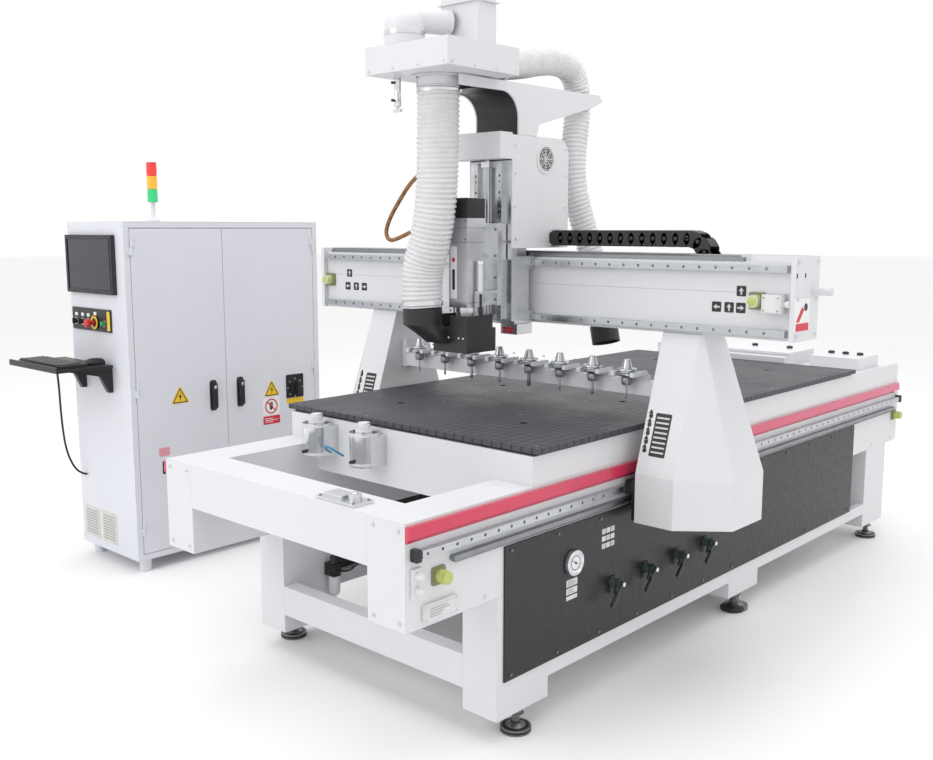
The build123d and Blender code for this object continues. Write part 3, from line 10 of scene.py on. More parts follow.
import bmesh
import bpy
import numpy as np
from bpy.props import FloatProperty, FloatVectorProperty, IntProperty, PointerProperty
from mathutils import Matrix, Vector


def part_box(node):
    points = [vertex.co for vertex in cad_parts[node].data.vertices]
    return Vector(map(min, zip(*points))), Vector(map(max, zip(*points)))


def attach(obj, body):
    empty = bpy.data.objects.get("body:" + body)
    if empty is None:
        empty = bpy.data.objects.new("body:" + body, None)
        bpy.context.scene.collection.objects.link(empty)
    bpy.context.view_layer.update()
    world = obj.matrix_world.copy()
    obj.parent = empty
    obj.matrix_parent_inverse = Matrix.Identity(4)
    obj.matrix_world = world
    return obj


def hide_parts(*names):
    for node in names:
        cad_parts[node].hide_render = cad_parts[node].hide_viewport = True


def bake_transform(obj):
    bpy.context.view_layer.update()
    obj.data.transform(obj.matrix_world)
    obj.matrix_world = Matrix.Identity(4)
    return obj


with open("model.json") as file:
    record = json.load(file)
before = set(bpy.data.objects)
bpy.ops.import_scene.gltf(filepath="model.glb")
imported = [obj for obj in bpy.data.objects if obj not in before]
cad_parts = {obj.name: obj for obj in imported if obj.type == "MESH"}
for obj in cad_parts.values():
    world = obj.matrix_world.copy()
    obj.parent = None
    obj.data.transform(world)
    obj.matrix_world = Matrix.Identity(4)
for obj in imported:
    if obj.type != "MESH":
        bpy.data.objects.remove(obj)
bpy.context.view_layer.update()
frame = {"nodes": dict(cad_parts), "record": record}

bl_info = {
    "name": "CNC router",
    "version": (1, 0, 0),
    "blender": (4, 5, 0),
    "location": "View3D > Sidebar > Router",
    "description": "Builds the looks of a CNC router round its packed frame",
    "category": "Object",
}

BEAM_LOW, BEAM_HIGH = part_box("side_beams")
BED_ORIGIN = np.array(((BEAM_LOW.x + BEAM_HIGH.x) / 2, BEAM_LOW.y, 0.0))
X, Y, Z = np.eye(3)


def metres(points):
    """Points in bed millimetres as points in the frame, in metres."""
    return np.asarray(points, float) / 1000 + BED_ORIGIN


def node_box(node):
    """A node's lowest and highest corner in bed millimetres."""
    return tuple((np.array(corner) - BED_ORIGIN) * 1000 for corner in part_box(node))


# ---------------------------------------------------------------- shapes
# A shape is (points, quads, caps): an array of points, an array of four-cornered faces, and a list
# of flat end faces with any number of corners.


def join(*shapes):
    """Several shapes as one, their points and faces one after another."""
    points, quads, caps, start = [], [], [], 0
    for own_points, own_quads, own_caps in shapes:
        points.append(own_points)
        quads.append(own_quads + start)
        caps += [[corner + start for corner in cap] for cap in own_caps]
        start += len(own_points)
    return np.concatenate(points), np.concatenate(quads), caps


def moved(shape, offset):
    """The shape with the same step added to every point."""
    return shape[0] + np.asarray(offset, float), shape[1], shape[2]


def copies(shape, offsets):
    """The shape repeated at each offset."""
    return join(*(moved(shape, offset) for offset in offsets))


def turned_about(shape, centre, axis, angle):
    """The shape turned by an angle about a line: each point keeps its part along the axis, and the
    rest turns by Rodrigues' formula."""
    arm = shape[0] - np.asarray(centre, float)
    along = np.outer(arm @ axis, axis)
    turned = along + (arm - along) * cos(angle) + np.cross(axis, arm) * sin(angle)
    return turned + centre, shape[1], shape[2]


def grid_faces(rows, columns):
    """Faces between neighbouring rows of a grid whose columns close on themselves."""
    row = np.arange(rows - 1)[:, None] * columns
    column = np.arange(columns)[None, :]
    following = (column + 1) % columns
    corners = (row + column, row + following, row + columns + following, row + columns + column)
    return np.stack(corners, -1).reshape(-1, 4)


def closed(grid):
    """A grid of rings, one row per ring, with a flat face at each end."""
    rows, columns = grid.shape[:2]
    last = (rows - 1) * columns
    caps = [list(range(columns))[::-1], list(range(last, last + columns))]
    return grid.reshape(-1, 3), grid_faces(rows, columns), caps


def across(axis):
    """Two unit vectors square to an axis and to each other."""
    first = Y if abs(axis @ X) > 0.9 else X
    side = np.cross(axis, first)
    side /= np.linalg.norm(side)
    return side, np.cross(axis, side)


def turned(profile, centre, axis=Z, sides=32):
    """A profile of (radius, distance) rows carried round an axis:
    centre + distance along the axis + radius times (cos a, sin a) across it."""
    side, up = across(np.asarray(axis, float))
    angle = np.linspace(0, 2 * pi, sides, endpoint=False)
    ring = np.cos(angle)[:, None] * side + np.sin(angle)[:, None] * up
    profile = np.asarray(profile, float)
    grid = profile[:, 0, None, None] * ring + profile[:, 1, None, None] * axis
    return closed(grid + centre)


def disc(centre, axis, radius, height, edge=1.0, sides=32):
    """A short round slab with a turned edge, from the centre along the axis."""
    rows = (
        (radius, 0), (radius, height - edge), (radius - edge * 0.3, height - edge * 0.3),
        (radius - edge, height),
    )
    return turned(rows, centre, axis, sides)


def bolt(centre, axis, size):
    """A socket screw's head: a round cap with a sunk six-sided socket."""
    head = size * 0.8
    rows = (
        (size, 0),
        (size, head * 0.8),
        (size * 0.88, head),
        (size * 0.5, head),
        (size * 0.46, head * 0.4),
        (size * 0.02, head * 0.36),
    )
    return turned(rows, centre, axis, 12)


def rounded(width, height, radius, steps=4):
    """A rectangle's outline round its middle, each corner an arc of the radius."""
    corners = ((1, 1, 0), (-1, 1, pi / 2), (-1, -1, pi), (1, -1, 3 * pi / 2))
    sweep = np.linspace(0, pi / 2, steps)
    rows = [
        np.stack(
            (
                sx * (width / 2 - radius) + radius * np.cos(start + sweep),
                sy * (height / 2 - radius) + radius * np.sin(start + sweep),
            ),
            -1,
        )
        for sx, sy, start in corners
    ]
    return np.concatenate(rows)


def slab(outline, centre, side, up, thickness, edge=0.0):
    """A flat outline given thickness: each of its points is laid off along side and up, and the ring
    is carried along side x up, with the last ring drawn in by the edge."""
    side, up = np.asarray(side, float), np.asarray(up, float)
    out = np.cross(side, up)
    outline = np.asarray(outline, float)
    span = np.maximum(np.ptp(outline, axis=0), 1e-6)
    rings = [(outline, 0.0), (outline, thickness - edge)]
    if edge:
        rings.append((outline * (1 - 2 * edge / span), thickness))
    grid = np.stack([ring[:, :1] * side + ring[:, 1:] * up + out * rise for ring, rise in rings])
    return closed(grid + np.asarray(centre, float))


def box(low, high, radius=2.0):
    """A box between two corners with its upright edges rounded."""
    low, high = np.asarray(low, float), np.asarray(high, float)
    size, middle = high - low, (low + high) / 2
    outline = rounded(size[0], size[1], min(radius, size[0] / 2.1, size[1] / 2.1), 3)
    return slab(outline, (middle[0], middle[1], low[2]), X, Y, size[2], min(1.0, size[2] / 4))


def carried(section, path, side):
    """A closed section carried along a path: path point + its first number times a vector square to
    the path and near side, + its second number times path direction x that vector."""
    path, section = np.asarray(path, float), np.asarray(section, float)
    along = np.gradient(path, axis=0)
    along /= np.linalg.norm(along, axis=1)[:, None]
    across_path = side - (along @ side)[:, None] * along
    across_path /= np.linalg.norm(across_path, axis=1)[:, None]
    up = np.cross(along, across_path)
    grid = path[:, None] + section[None, :, :1] * across_path[:, None] + section[None, :, 1:] * up[:, None]
    return closed(grid)


def round_section(radius, sides=12):
    """A circle's outline."""
    angle = np.linspace(0, 2 * pi, sides, endpoint=False)
    return np.stack((radius * np.cos(angle), radius * np.sin(angle)), -1)


def even_path(points, step):
    """Points at even distances along a line, straight between its own points."""
    points = np.asarray(points, float)
    length = np.concatenate(((0,), np.cumsum(np.linalg.norm(np.diff(points, axis=0), axis=1))))
    places = np.linspace(0, length[-1], max(2, ceil(length[-1] / step) + 1))
    return np.stack([np.interp(places, length, points[:, k]) for k in range(3)], -1), places


# ---------------------------------------------------------------- pieces


def add_piece(name, shape, coat, body, bevel=0.0, smooth=35.0):
    """Puts a shape into the frame as a piece with one finish, named by coat, which rides on a body."""
    points, quads, caps = shape
    mesh = bpy.data.meshes.new(name)
    mesh.from_pydata(metres(points).tolist(), [], quads.tolist() + caps)
    work = bmesh.new()
    work.from_mesh(mesh)
    bmesh.ops.remove_doubles(work, verts=work.verts, dist=1e-6)
    bmesh.ops.recalc_face_normals(work, faces=work.faces)
    work.to_mesh(mesh)
    work.free()
    mesh.shade_smooth()
    mesh.set_sharp_from_angle(angle=radians(smooth))
    mesh.materials.append(finish(coat))
    piece = bpy.data.objects.new(name, mesh)
    bpy.context.scene.collection.objects.link(piece)
    if bevel:
        edge = piece.modifiers.new("rounded edges", "BEVEL")
        edge.width = bevel / 1000
        edge.segments = 2
        edge.limit_method = "ANGLE"
        edge.angle_limit = radians(40)
        edge.harden_normals = True
    if body:
        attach(piece, body)
    return piece


def spline(name, route, radius=0.0):
    """A route's smooth line as a curve object: a NURBS of order 3 that starts and ends on its ends."""
    curve = bpy.data.curves.new(name, "CURVE")
    curve.dimensions = "3D"
    line = curve.splines.new("NURBS")
    line.points.add(len(route) - 1)
    for point, place in zip(line.points, metres(route)):
        point.co = (*place, 1.0)
    line.order_u = 3
    line.use_endpoint_u = True
    curve.resolution_u = 12
    curve.bevel_depth = radius / 1000
    curve.bevel_resolution = 5
    curve.use_fill_caps = True
    piece = bpy.data.objects.new(name, curve)
    bpy.context.scene.collection.objects.link(piece)
    return piece


def spline_points(route):
    """The points of a route's smooth line, in bed millimetres, in order."""
    guide = spline("guide", route)
    bpy.context.view_layer.update()
    mesh = bpy.data.meshes.new_from_object(guide)
    places = np.array([vertex.co for vertex in mesh.vertices])
    bpy.data.objects.remove(guide)
    bpy.data.meshes.remove(mesh)
    return (places - BED_ORIGIN) * 1000


def ribbed_tube(path, radius, depth, pitch, sides=48, wall=1.5):
    """A corrugated tube along a path: its radius is the outer radius less depth times
    (1 - cos(2 pi (distance / pitch - turn))) / 2, so one rib winds round it as a screw thread.
    The inner wall follows at the wall's thickness and closes onto the outer one at both ends."""
    line, distance = even_path(path, pitch / 8)
    along = np.gradient(line, axis=0)
    along /= np.linalg.norm(along, axis=1)[:, None]
    side = np.cross(along, np.array((0.12, 1.0, 0.05)))
    side /= np.linalg.norm(side, axis=1)[:, None]
    up = np.cross(along, side)
    turn = np.linspace(0, 1, sides, endpoint=False)
    wave = (1 - np.cos(2 * pi * (distance[:, None] / pitch - turn[None, :]))) / 2
    ring = np.cos(2 * pi * turn)[None, :, None] * side[:, None] + np.sin(2 * pi * turn)[
        None, :, None
    ] * up[:, None]
    outer = line[:, None] + (radius - depth * wave)[..., None] * ring
    inner = line[:, None] + (radius - depth * wave - wall)[..., None] * ring
    grid = np.concatenate((outer, inner[::-1], outer[:1]))
    return grid.reshape(-1, 3), grid_faces(len(grid), sides), []


def rib_wire(path, radius, pitch, wire, sides=6, steps=28):
    """The spring wire in a hose: a thin tube along path + radius (cos, sin) of the same screw thread."""
    length = even_path(path, 10)[1][-1]
    count = int(length / pitch * steps)
    line, distance = even_path(path, length / count)
    along = np.gradient(line, axis=0)
    along /= np.linalg.norm(along, axis=1)[:, None]
    side = np.cross(along, np.array((0.12, 1.0, 0.05)))
    side /= np.linalg.norm(side, axis=1)[:, None]
    up = np.cross(along, side)
    angle = 2 * pi * distance / pitch
    ring = np.cos(angle)[:, None] * side + np.sin(angle)[:, None] * up
    return carried(round_section(wire, sides), line + radius * ring, along.mean(0))


# ---------------------------------------------------------------- finishes


class Recipe:
    """One finish: a Principled shader, and the texture nodes that feed it on Object coordinates."""

    def __init__(self, name, roughness, metallic=0.0):
        self.material = bpy.data.materials.new(name)
        self.material.use_nodes = True
        self.tree = self.material.node_tree
        self.shader = self.tree.nodes["Principled BSDF"]
        self.shader.inputs["Roughness"].default_value = roughness
        self.shader.inputs["Metallic"].default_value = metallic
        self.place = self.add("ShaderNodeTexCoord").outputs["Object"]

    def add(self, kind, **settings):
        """A new node with its settings."""
        node = self.tree.nodes.new(kind)
        for key, value in settings.items():
            setattr(node, key, value)
        return node

    def feed(self, socket, value):
        """Links another node's output to a socket, or sets the socket to a plain value."""
        if isinstance(value, bpy.types.NodeSocket):
            self.tree.links.new(value, socket)
        else:
            socket.default_value = value

    def noise(self, scale, stretch=(1, 1, 1), detail=3.0, rough=0.55):
        """Cloudy noise from 0 to 1, its size set per metre and stretched along the axes."""
        mapping = self.add("ShaderNodeMapping")
        self.feed(mapping.inputs["Vector"], self.place)
        mapping.inputs["Scale"].default_value = stretch
        node = self.add("ShaderNodeTexNoise")
        self.feed(node.inputs["Vector"], mapping.outputs["Vector"])
        node.inputs["Scale"].default_value = scale
        node.inputs["Detail"].default_value = detail
        node.inputs["Roughness"].default_value = rough
        return node.outputs["Fac"]

    def sum(self, operation, first, second=0.0, third=0.0):
        """One step of arithmetic on numbers."""
        node = self.add("ShaderNodeMath", operation=operation)
        for socket, value in zip(node.inputs, (first, second, third)):
            self.feed(socket, value)
        return node.outputs[0]

    def spread(self, value, low, high, new_low=0.0, new_high=1.0):
        """A number moved from one range to another and held inside it."""
        node = self.add("ShaderNodeMapRange")
        for key, number in zip(
            ("Value", "From Min", "From Max", "To Min", "To Max"), (value, low, high, new_low, new_high)
        ):
            self.feed(node.inputs[key], number)
        return node.outputs[0]

    def mix(self, factor, first, second):
        """A colour between two others."""
        node = self.add("ShaderNodeMix", data_type="RGBA")
        self.feed(node.inputs["Factor"], factor)
        self.feed(node.inputs[6], (*first, 1.0) if isinstance(first, tuple) else first)
        self.feed(node.inputs[7], (*second, 1.0) if isinstance(second, tuple) else second)
        return node.outputs[2]

    def edges(self, radius):
        """Rounded shading at sharp edges, and how close to such an edge a point is."""
        soft = self.add("ShaderNodeBevel", samples=4)
        soft.inputs["Radius"].default_value = radius
        flat = self.add("ShaderNodeNewGeometry")
        match = self.add("ShaderNodeVectorMath", operation="DOT_PRODUCT")
        self.feed(match.inputs[0], soft.outputs["Normal"])
        self.feed(match.inputs[1], flat.outputs["Normal"])
        return soft.outputs["Normal"], self.spread(match.outputs["Value"], 0.75, 0.99, 1.0, 0.0)

    def bump(self, height, strength, distance, normal=None):
        """Small heights in the surface, in metres."""
        node = self.add("ShaderNodeBump")
        node.inputs["Strength"].default_value = strength
        node.inputs["Distance"].default_value = distance
        self.feed(node.inputs["Height"], height)
        if normal is not None:
            self.feed(node.inputs["Normal"], normal)
        return node.outputs["Normal"]

    def done(self, colour, normal=None, roughness=None):
        """The finished material."""
        self.feed(self.shader.inputs["Base Color"], (*colour, 1.0) if isinstance(colour, tuple) else colour)
        if normal is not None:
            self.feed(self.shader.inputs["Normal"], normal)
        if roughness is not None:
            self.feed(self.shader.inputs["Roughness"], roughness)
        return self.material


def shade(colour, amount):
    """A colour made darker or lighter."""
    return tuple(min(1.0, part * amount) for part in colour)


def powder_coat(name, colour, roughness=0.42, grain=900.0, worn=(0.62, 0.62, 0.63), radius=0.0025):
    """Baked powder paint: fine orange peel, faint cloudy tone, dust and rubbed edges."""
    recipe = Recipe(name, roughness)
    soft, edge = recipe.edges(radius)
    cloud = recipe.noise(3.0, detail=4.0)
    dust = recipe.noise(38.0, detail=5.0)
    tone = recipe.mix(cloud, shade(colour, 0.955), shade(colour, 1.03))
    tone = recipe.mix(recipe.spread(dust, 0.58, 0.8, 0.0, 0.12), tone, shade(colour, 0.82))
    rubbed = recipe.sum("MULTIPLY", edge, recipe.spread(recipe.noise(120.0), 0.45, 0.7, 0.0, 0.55))
    tone = recipe.mix(rubbed, tone, worn)
    peel = recipe.noise(grain, detail=2.0)
    normal = recipe.bump(peel, 0.16, 0.0004, soft)
    return recipe.done(tone, normal, recipe.spread(dust, 0.3, 0.7, roughness - 0.06, roughness + 0.08))


def ground_metal(name, colour, roughness, stretch, scale=140.0, radius=0.001, darker=0.72):
    """Metal with the fine lines of grinding or milling along its length, a film of handling and a painted
    highlight along its sharp edges.
    """
    recipe = Recipe(name, roughness, 1.0)
    soft, edge = recipe.edges(radius)
    lines = recipe.noise(scale, stretch, detail=4.0)
    film = recipe.noise(14.0, detail=4.0)
    tone = recipe.mix(lines, shade(colour, darker), colour)
    tone = recipe.mix(recipe.spread(film, 0.5, 0.8, 0.0, 0.35), tone, shade(colour, 0.6))
    # painted highlight: the metal is painted lighter along its sharp edges
    tone = recipe.mix(recipe.sum("MULTIPLY", edge, 0.5), tone, shade(colour, 1.25))
    normal = recipe.bump(lines, 0.12, 0.0004, soft)
    return recipe.done(tone, normal, recipe.spread(film, 0.3, 0.75, roughness - 0.07, roughness + 0.1))


def moulded_plastic(name, colour, roughness=0.4, grain=1400.0, bump=0.12):
    """Moulded plastic: an even fine grain, slight tone, and lighter edges, partly rubbed wear and partly
    painted highlight.
    """
    recipe = Recipe(name, roughness)
    soft, edge = recipe.edges(0.0012)
    cloud = recipe.noise(24.0, detail=4.0)
    tone = recipe.mix(cloud, shade(colour, 0.85), shade(colour, 1.12))
    # lighter edges: partly rubbed wear, partly painted highlight
    tone = recipe.mix(recipe.sum("MULTIPLY", edge, 0.22), tone, shade(colour, 1.9))
    normal = recipe.bump(recipe.noise(grain, detail=2.0), bump, 0.0003, soft)
    return recipe.done(tone, normal, recipe.spread(cloud, 0.3, 0.7, roughness - 0.05, roughness + 0.09))


def print_ink(name, colour, roughness=0.45):
    """Printed or cut film: a flat ink with tiny pinholes and a slightly uneven gloss."""
    recipe = Recipe(name, roughness)
    speck = recipe.noise(700.0, detail=2.0)
    cloud = recipe.noise(30.0, detail=3.0)
    tone = recipe.mix(recipe.spread(speck, 0.55, 0.75, 0.0, 0.25), shade(colour, 1.0), shade(colour, 0.75))
    return recipe.done(
        tone, recipe.bump(speck, 0.06, 0.0002),
        recipe.spread(cloud, 0.3, 0.7, roughness - 0.08, roughness + 0.1),
    )


def grooved_table(name):
    """Black laminate worktop: square grid of narrow milled channels painted near black as their shade,
    paper-grain and wear of use.
    """
    sizes = bpy.context.scene.router_bed
    recipe = Recipe(name, 0.5)
    split = recipe.add("ShaderNodeSeparateXYZ")
    recipe.feed(split.inputs[0], recipe.place)
    half = sizes.groove_pitch / 2
    shares = []
    for axis in (0, 1):
        fold = recipe.sum("PINGPONG", split.outputs[axis], half)
        shares.append(recipe.spread(fold, sizes.groove_width * 0.35, sizes.groove_width * 0.65, 1.0, 0.0))
    cut = recipe.sum("MAXIMUM", shares[0], shares[1])
    cloud = recipe.noise(5.0, detail=5.0)
    grain = recipe.noise(420.0, detail=3.0)
    base = tuple(sizes.table_colour)
    tone = recipe.mix(cloud, shade(base, 0.8), shade(base, 1.3))
    tone = recipe.mix(recipe.spread(grain, 0.5, 0.8, 0.0, 0.3), tone, shade(base, 1.7))
    # painted shade: the grooves are painted near black
    tone = recipe.mix(cut, tone, shade(base, 0.12))
    height = recipe.sum("SUBTRACT", recipe.sum("MULTIPLY", grain, 0.05), cut)
    normal = recipe.bump(height, 0.7, 0.003)
    return recipe.done(tone, normal, recipe.spread(cloud, 0.3, 0.7, 0.42, 0.6))


def red_gloss(name):
    """Glossy red enamel with a painted sheen that turns it from crimson at the loading end to pink at the
    rear.
    """
    recipe = Recipe(name, 0.22)
    recipe.shader.inputs["Coat Weight"].default_value = 0.6
    recipe.shader.inputs["Coat Roughness"].default_value = 0.12
    soft, edge = recipe.edges(0.002)
    split = recipe.add("ShaderNodeSeparateXYZ")
    recipe.feed(split.inputs[0], recipe.place)
    low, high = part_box("rail_covers")
    cloud = recipe.noise(8.0, detail=4.0)
    # painted sheen: the red is painted pinker towards the rear end
    rear_sheen = recipe.spread(split.outputs[1], low.y, high.y, 0.0, 0.55)
    tone = recipe.mix(rear_sheen, (0.62, 0.022, 0.075), (0.66, 0.10, 0.24))
    tone = recipe.mix(recipe.spread(cloud, 0.4, 0.8, 0.0, 0.18), tone, (0.42, 0.012, 0.05))
    # painted highlight: the enamel is painted pale pink along its sharp edges
    tone = recipe.mix(recipe.sum("MULTIPLY", edge, 0.25), tone, (0.85, 0.35, 0.4))
    return recipe.done(tone, recipe.bump(recipe.noise(600.0), 0.08, 0.0004, soft))


def clear_film(name, colour, opacity, roughness=0.3):
    """Clear milky hose film: a little of what is behind shows through, more where it is thin."""
    recipe = Recipe(name, roughness)
    recipe.shader.inputs["Coat Weight"].default_value = 0.35
    recipe.shader.inputs["Coat Roughness"].default_value = 0.2
    recipe.shader.inputs["Subsurface Weight"].default_value = 0.25
    recipe.shader.inputs["Subsurface Radius"].default_value = (0.01, 0.01, 0.01)
    cloud = recipe.noise(26.0, detail=4.0)
    fine = recipe.noise(260.0, detail=3.0)
    tone = recipe.mix(cloud, shade(colour, 0.9), shade(colour, 1.05))
    recipe.feed(recipe.shader.inputs["Alpha"], recipe.spread(fine, 0.3, 0.7, opacity - 0.07, opacity + 0.07))
    return recipe.done(tone, recipe.bump(fine, 0.15, 0.0006))


def braided(name, colour, pitch=0.004):
    """Woven sheath: crossed diagonal strands as two waves through the surface."""
    recipe = Recipe(name, 0.45)
    waves = []
    for angle in (0.9, -0.9):
        mapping = recipe.add("ShaderNodeMapping")
        recipe.feed(mapping.inputs["Vector"], recipe.place)
        mapping.inputs["Rotation"].default_value = (angle, 0.4, angle)
        wave = recipe.add("ShaderNodeTexWave", bands_direction="Z")
        recipe.feed(wave.inputs["Vector"], mapping.outputs[0])
        wave.inputs["Scale"].default_value = 0.16 / pitch
        waves.append(wave.outputs["Fac"])
    weave = recipe.sum("MULTIPLY", waves[0], waves[1])
    tone = recipe.mix(weave, shade(colour, 0.45), shade(colour, 1.2))
    return recipe.done(tone, recipe.bump(weave, 0.5, 0.0008))


def lens(name, colour, glow):
    """Signal lens: coloured clear plastic with fine upright ribs and a faint light of its own."""
    recipe = Recipe(name, 0.2)
    recipe.shader.inputs["Coat Weight"].default_value = 0.5
    ribs = recipe.noise(90.0, (1.0, 1.0, 0.02), detail=1.0)
    tone = recipe.mix(ribs, shade(colour, 0.75), shade(colour, 1.15))
    recipe.feed(recipe.shader.inputs["Emission Color"], (*colour, 1.0))
    recipe.shader.inputs["Emission Strength"].default_value = glow
    return recipe.done(tone, recipe.bump(ribs, 0.3, 0.001))


def dark_glass(name, colour):
    """Screen glass: a dark even pane with faint smears."""
    recipe = Recipe(name, 0.12)
    smear = recipe.noise(9.0, (1.0, 1.0, 2.0), detail=4.0)
    tone = recipe.mix(smear, shade(colour, 0.8), shade(colour, 1.3))
    return recipe.done(tone, recipe.bump(smear, 0.02, 0.001), recipe.spread(smear, 0.4, 0.8, 0.1, 0.28))


FINISHES = {}


def finish(name):
    """A finish by name, made the first time that it is asked for."""
    if name not in FINISHES:
        paint = tuple(bpy.context.scene.router_paint.white)
        cabinet = tuple(bpy.context.scene.router_paint.cabinet)
        makers = {
            "white_paint": (powder_coat, paint),
            "white_sheet": (powder_coat, shade(paint, 0.99), 0.38, 1100.0),
            "cabinet_paint": (powder_coat, cabinet, 0.5, 1300.0),
            "red_paint": (red_gloss,),
            "black_paint": (powder_coat, (0.012, 0.012, 0.014), 0.38, 900.0, (0.09, 0.09, 0.1)),
            "foot_steel": (ground_metal, (0.30, 0.30, 0.31), 0.42, (1, 1, 6)),
            "phenolic": (grooved_table,),
            "rail_steel": (ground_metal, (0.62, 0.64, 0.67), 0.28, (1, 0.03, 1), 220.0),
            "cross_rail_steel": (ground_metal, (0.62, 0.64, 0.67), 0.28, (0.03, 1, 1), 220.0),
            "rack_steel": (ground_metal, (0.34, 0.35, 0.37), 0.38, (1, 1, 1), 160.0),
            "chrome": (ground_metal, (0.78, 0.79, 0.80), 0.14, (1, 1, 0.2), 60.0, 0.001, 0.9),
            "machined_aluminium": (ground_metal, (0.74, 0.75, 0.77), 0.34, (0.2, 1, 1), 260.0, 0.001, 0.85),
            "black_plastic": (moulded_plastic, (0.016, 0.016, 0.018)),
            "fitting_plastic": (moulded_plastic, (0.5, 0.52, 0.5), 0.38),
            "pale_plastic": (moulded_plastic, (0.7, 0.7, 0.71), 0.4),
            "red_plastic": (moulded_plastic, (0.6, 0.02, 0.02), 0.3),
            "green_plastic": (moulded_plastic, (0.02, 0.32, 0.09), 0.3),
            "lever_red": (moulded_plastic, (0.014, 0.014, 0.015), 0.35),
            "buffer_rubber": (moulded_plastic, (0.50, 0.56, 0.16), 0.45, 700.0),
            "olive_plastic": (moulded_plastic, (0.22, 0.23, 0.12), 0.5),
            "lens_plastic": (moulded_plastic, (0.3, 0.3, 0.32), 0.3),
            "red_lens": (lens, (0.75, 0.03, 0.03), 0.25),
            "amber_lens": (lens, (0.9, 0.42, 0.02), 0.25),
            "green_lens": (lens, (0.02, 0.55, 0.18), 0.25),
            "cable_rubber": (moulded_plastic, (0.013, 0.013, 0.014), 0.5, 600.0, 0.2),
            "blue_tube": (moulded_plastic, (0.03, 0.22, 0.42), 0.3, 500.0),
            "hose_plastic": (clear_film, (0.86, 0.86, 0.87), 0.72),
            "hose_wire": (moulded_plastic, (0.78, 0.78, 0.80), 0.3),
            "copper_hose": (braided, (0.46, 0.20, 0.05)),
            "black_ink": (print_ink, (0.02, 0.02, 0.022)),
            "white_ink": (print_ink, (0.82, 0.82, 0.82)),
            "grey_ink": (print_ink, (0.36, 0.36, 0.38)),
            "red_ink": (print_ink, (0.62, 0.03, 0.05)),
            "pink_ink": (print_ink, (0.75, 0.32, 0.38)),
            "yellow_ink": (print_ink, (0.85, 0.55, 0.02)),
            "green_ink": (print_ink, (0.05, 0.35, 0.12)),
            "grey_light": (print_ink, (0.6, 0.6, 0.6)),
            "green_dark": (moulded_plastic, (0.035, 0.06, 0.045), 0.4),
            "key_plastic": (moulded_plastic, (0.035, 0.035, 0.038), 0.35),
            "vent_plastic": (moulded_plastic, (0.62, 0.61, 0.56), 0.5),
            "screen_glass": (dark_glass, (0.022, 0.026, 0.034)),
        }
        maker, *looks = makers[name]
        FINISHES[name] = maker(name, *looks)
    return FINISHES[name]


# ---------------------------------------------------------------- sizes and colours a user would change


class PaintSettings(bpy.types.PropertyGroup):
    """Colours of the painted parts."""

    white: FloatVectorProperty(
        name="Machine paint", description="Colour of the machine's frame", subtype="COLOR",
        size=3, default=(0.70, 0.705, 0.725), min=0, max=1,
    )
    cabinet: FloatVectorProperty(
        name="Cabinet paint", description="Colour of the control cabinet", subtype="COLOR",
        size=3, default=(0.70, 0.71, 0.76), min=0, max=1,
    )


class BedSettings(bpy.types.PropertyGroup):
    """The grooved worktop."""

    groove_pitch: FloatProperty(
        name="Groove pitch", description="Distance between two grooves", unit="LENGTH", default=0.0415,
    )
    groove_width: FloatProperty(
        name="Groove width", description="Width of one groove", unit="LENGTH", default=0.005,
    )
    table_colour: FloatVectorProperty(
        name="Worktop", description="Colour of the worktop", subtype="COLOR", size=3,
        default=(0.055, 0.055, 0.066), min=0, max=1,
    )


class HoseSettings(bpy.types.PropertyGroup):
    """The ribbed dust hoses, in millimetres."""

    pitch: FloatProperty(name="Rib pitch", description="Distance between two ribs", default=17.0)
    depth: FloatProperty(name="Rib depth", description="Height of a rib", default=5.5)
    wire: FloatProperty(name="Wire radius", description="Radius of the spring wire", default=1.5)


class ChainSettings(bpy.types.PropertyGroup):
    """The energy chain on the gantry."""

    link_pitch: FloatProperty(name="Link pitch", description="Length of a link in millimetres", default=46.0)
    loop_links: IntProperty(name="Links in the bend", description="Links round the half circle", default=5)


class StageSettings(bpy.types.PropertyGroup):
    """Floor, lights and camera."""

    sky: FloatProperty(name="Sky", description="Strength of the even light from all sides", default=1.0)
    top_light: FloatProperty(
        name="Top light", description="Power of the overhead panel", unit="POWER", default=150.0
    )
    front_light: FloatProperty(
        name="Front light", description="Power of the front panel", unit="POWER", default=70.0
    )
    lens: FloatProperty(name="Lens", description="Focal length in millimetres", default=39.5)


# ---------------------------------------------------------------- stage


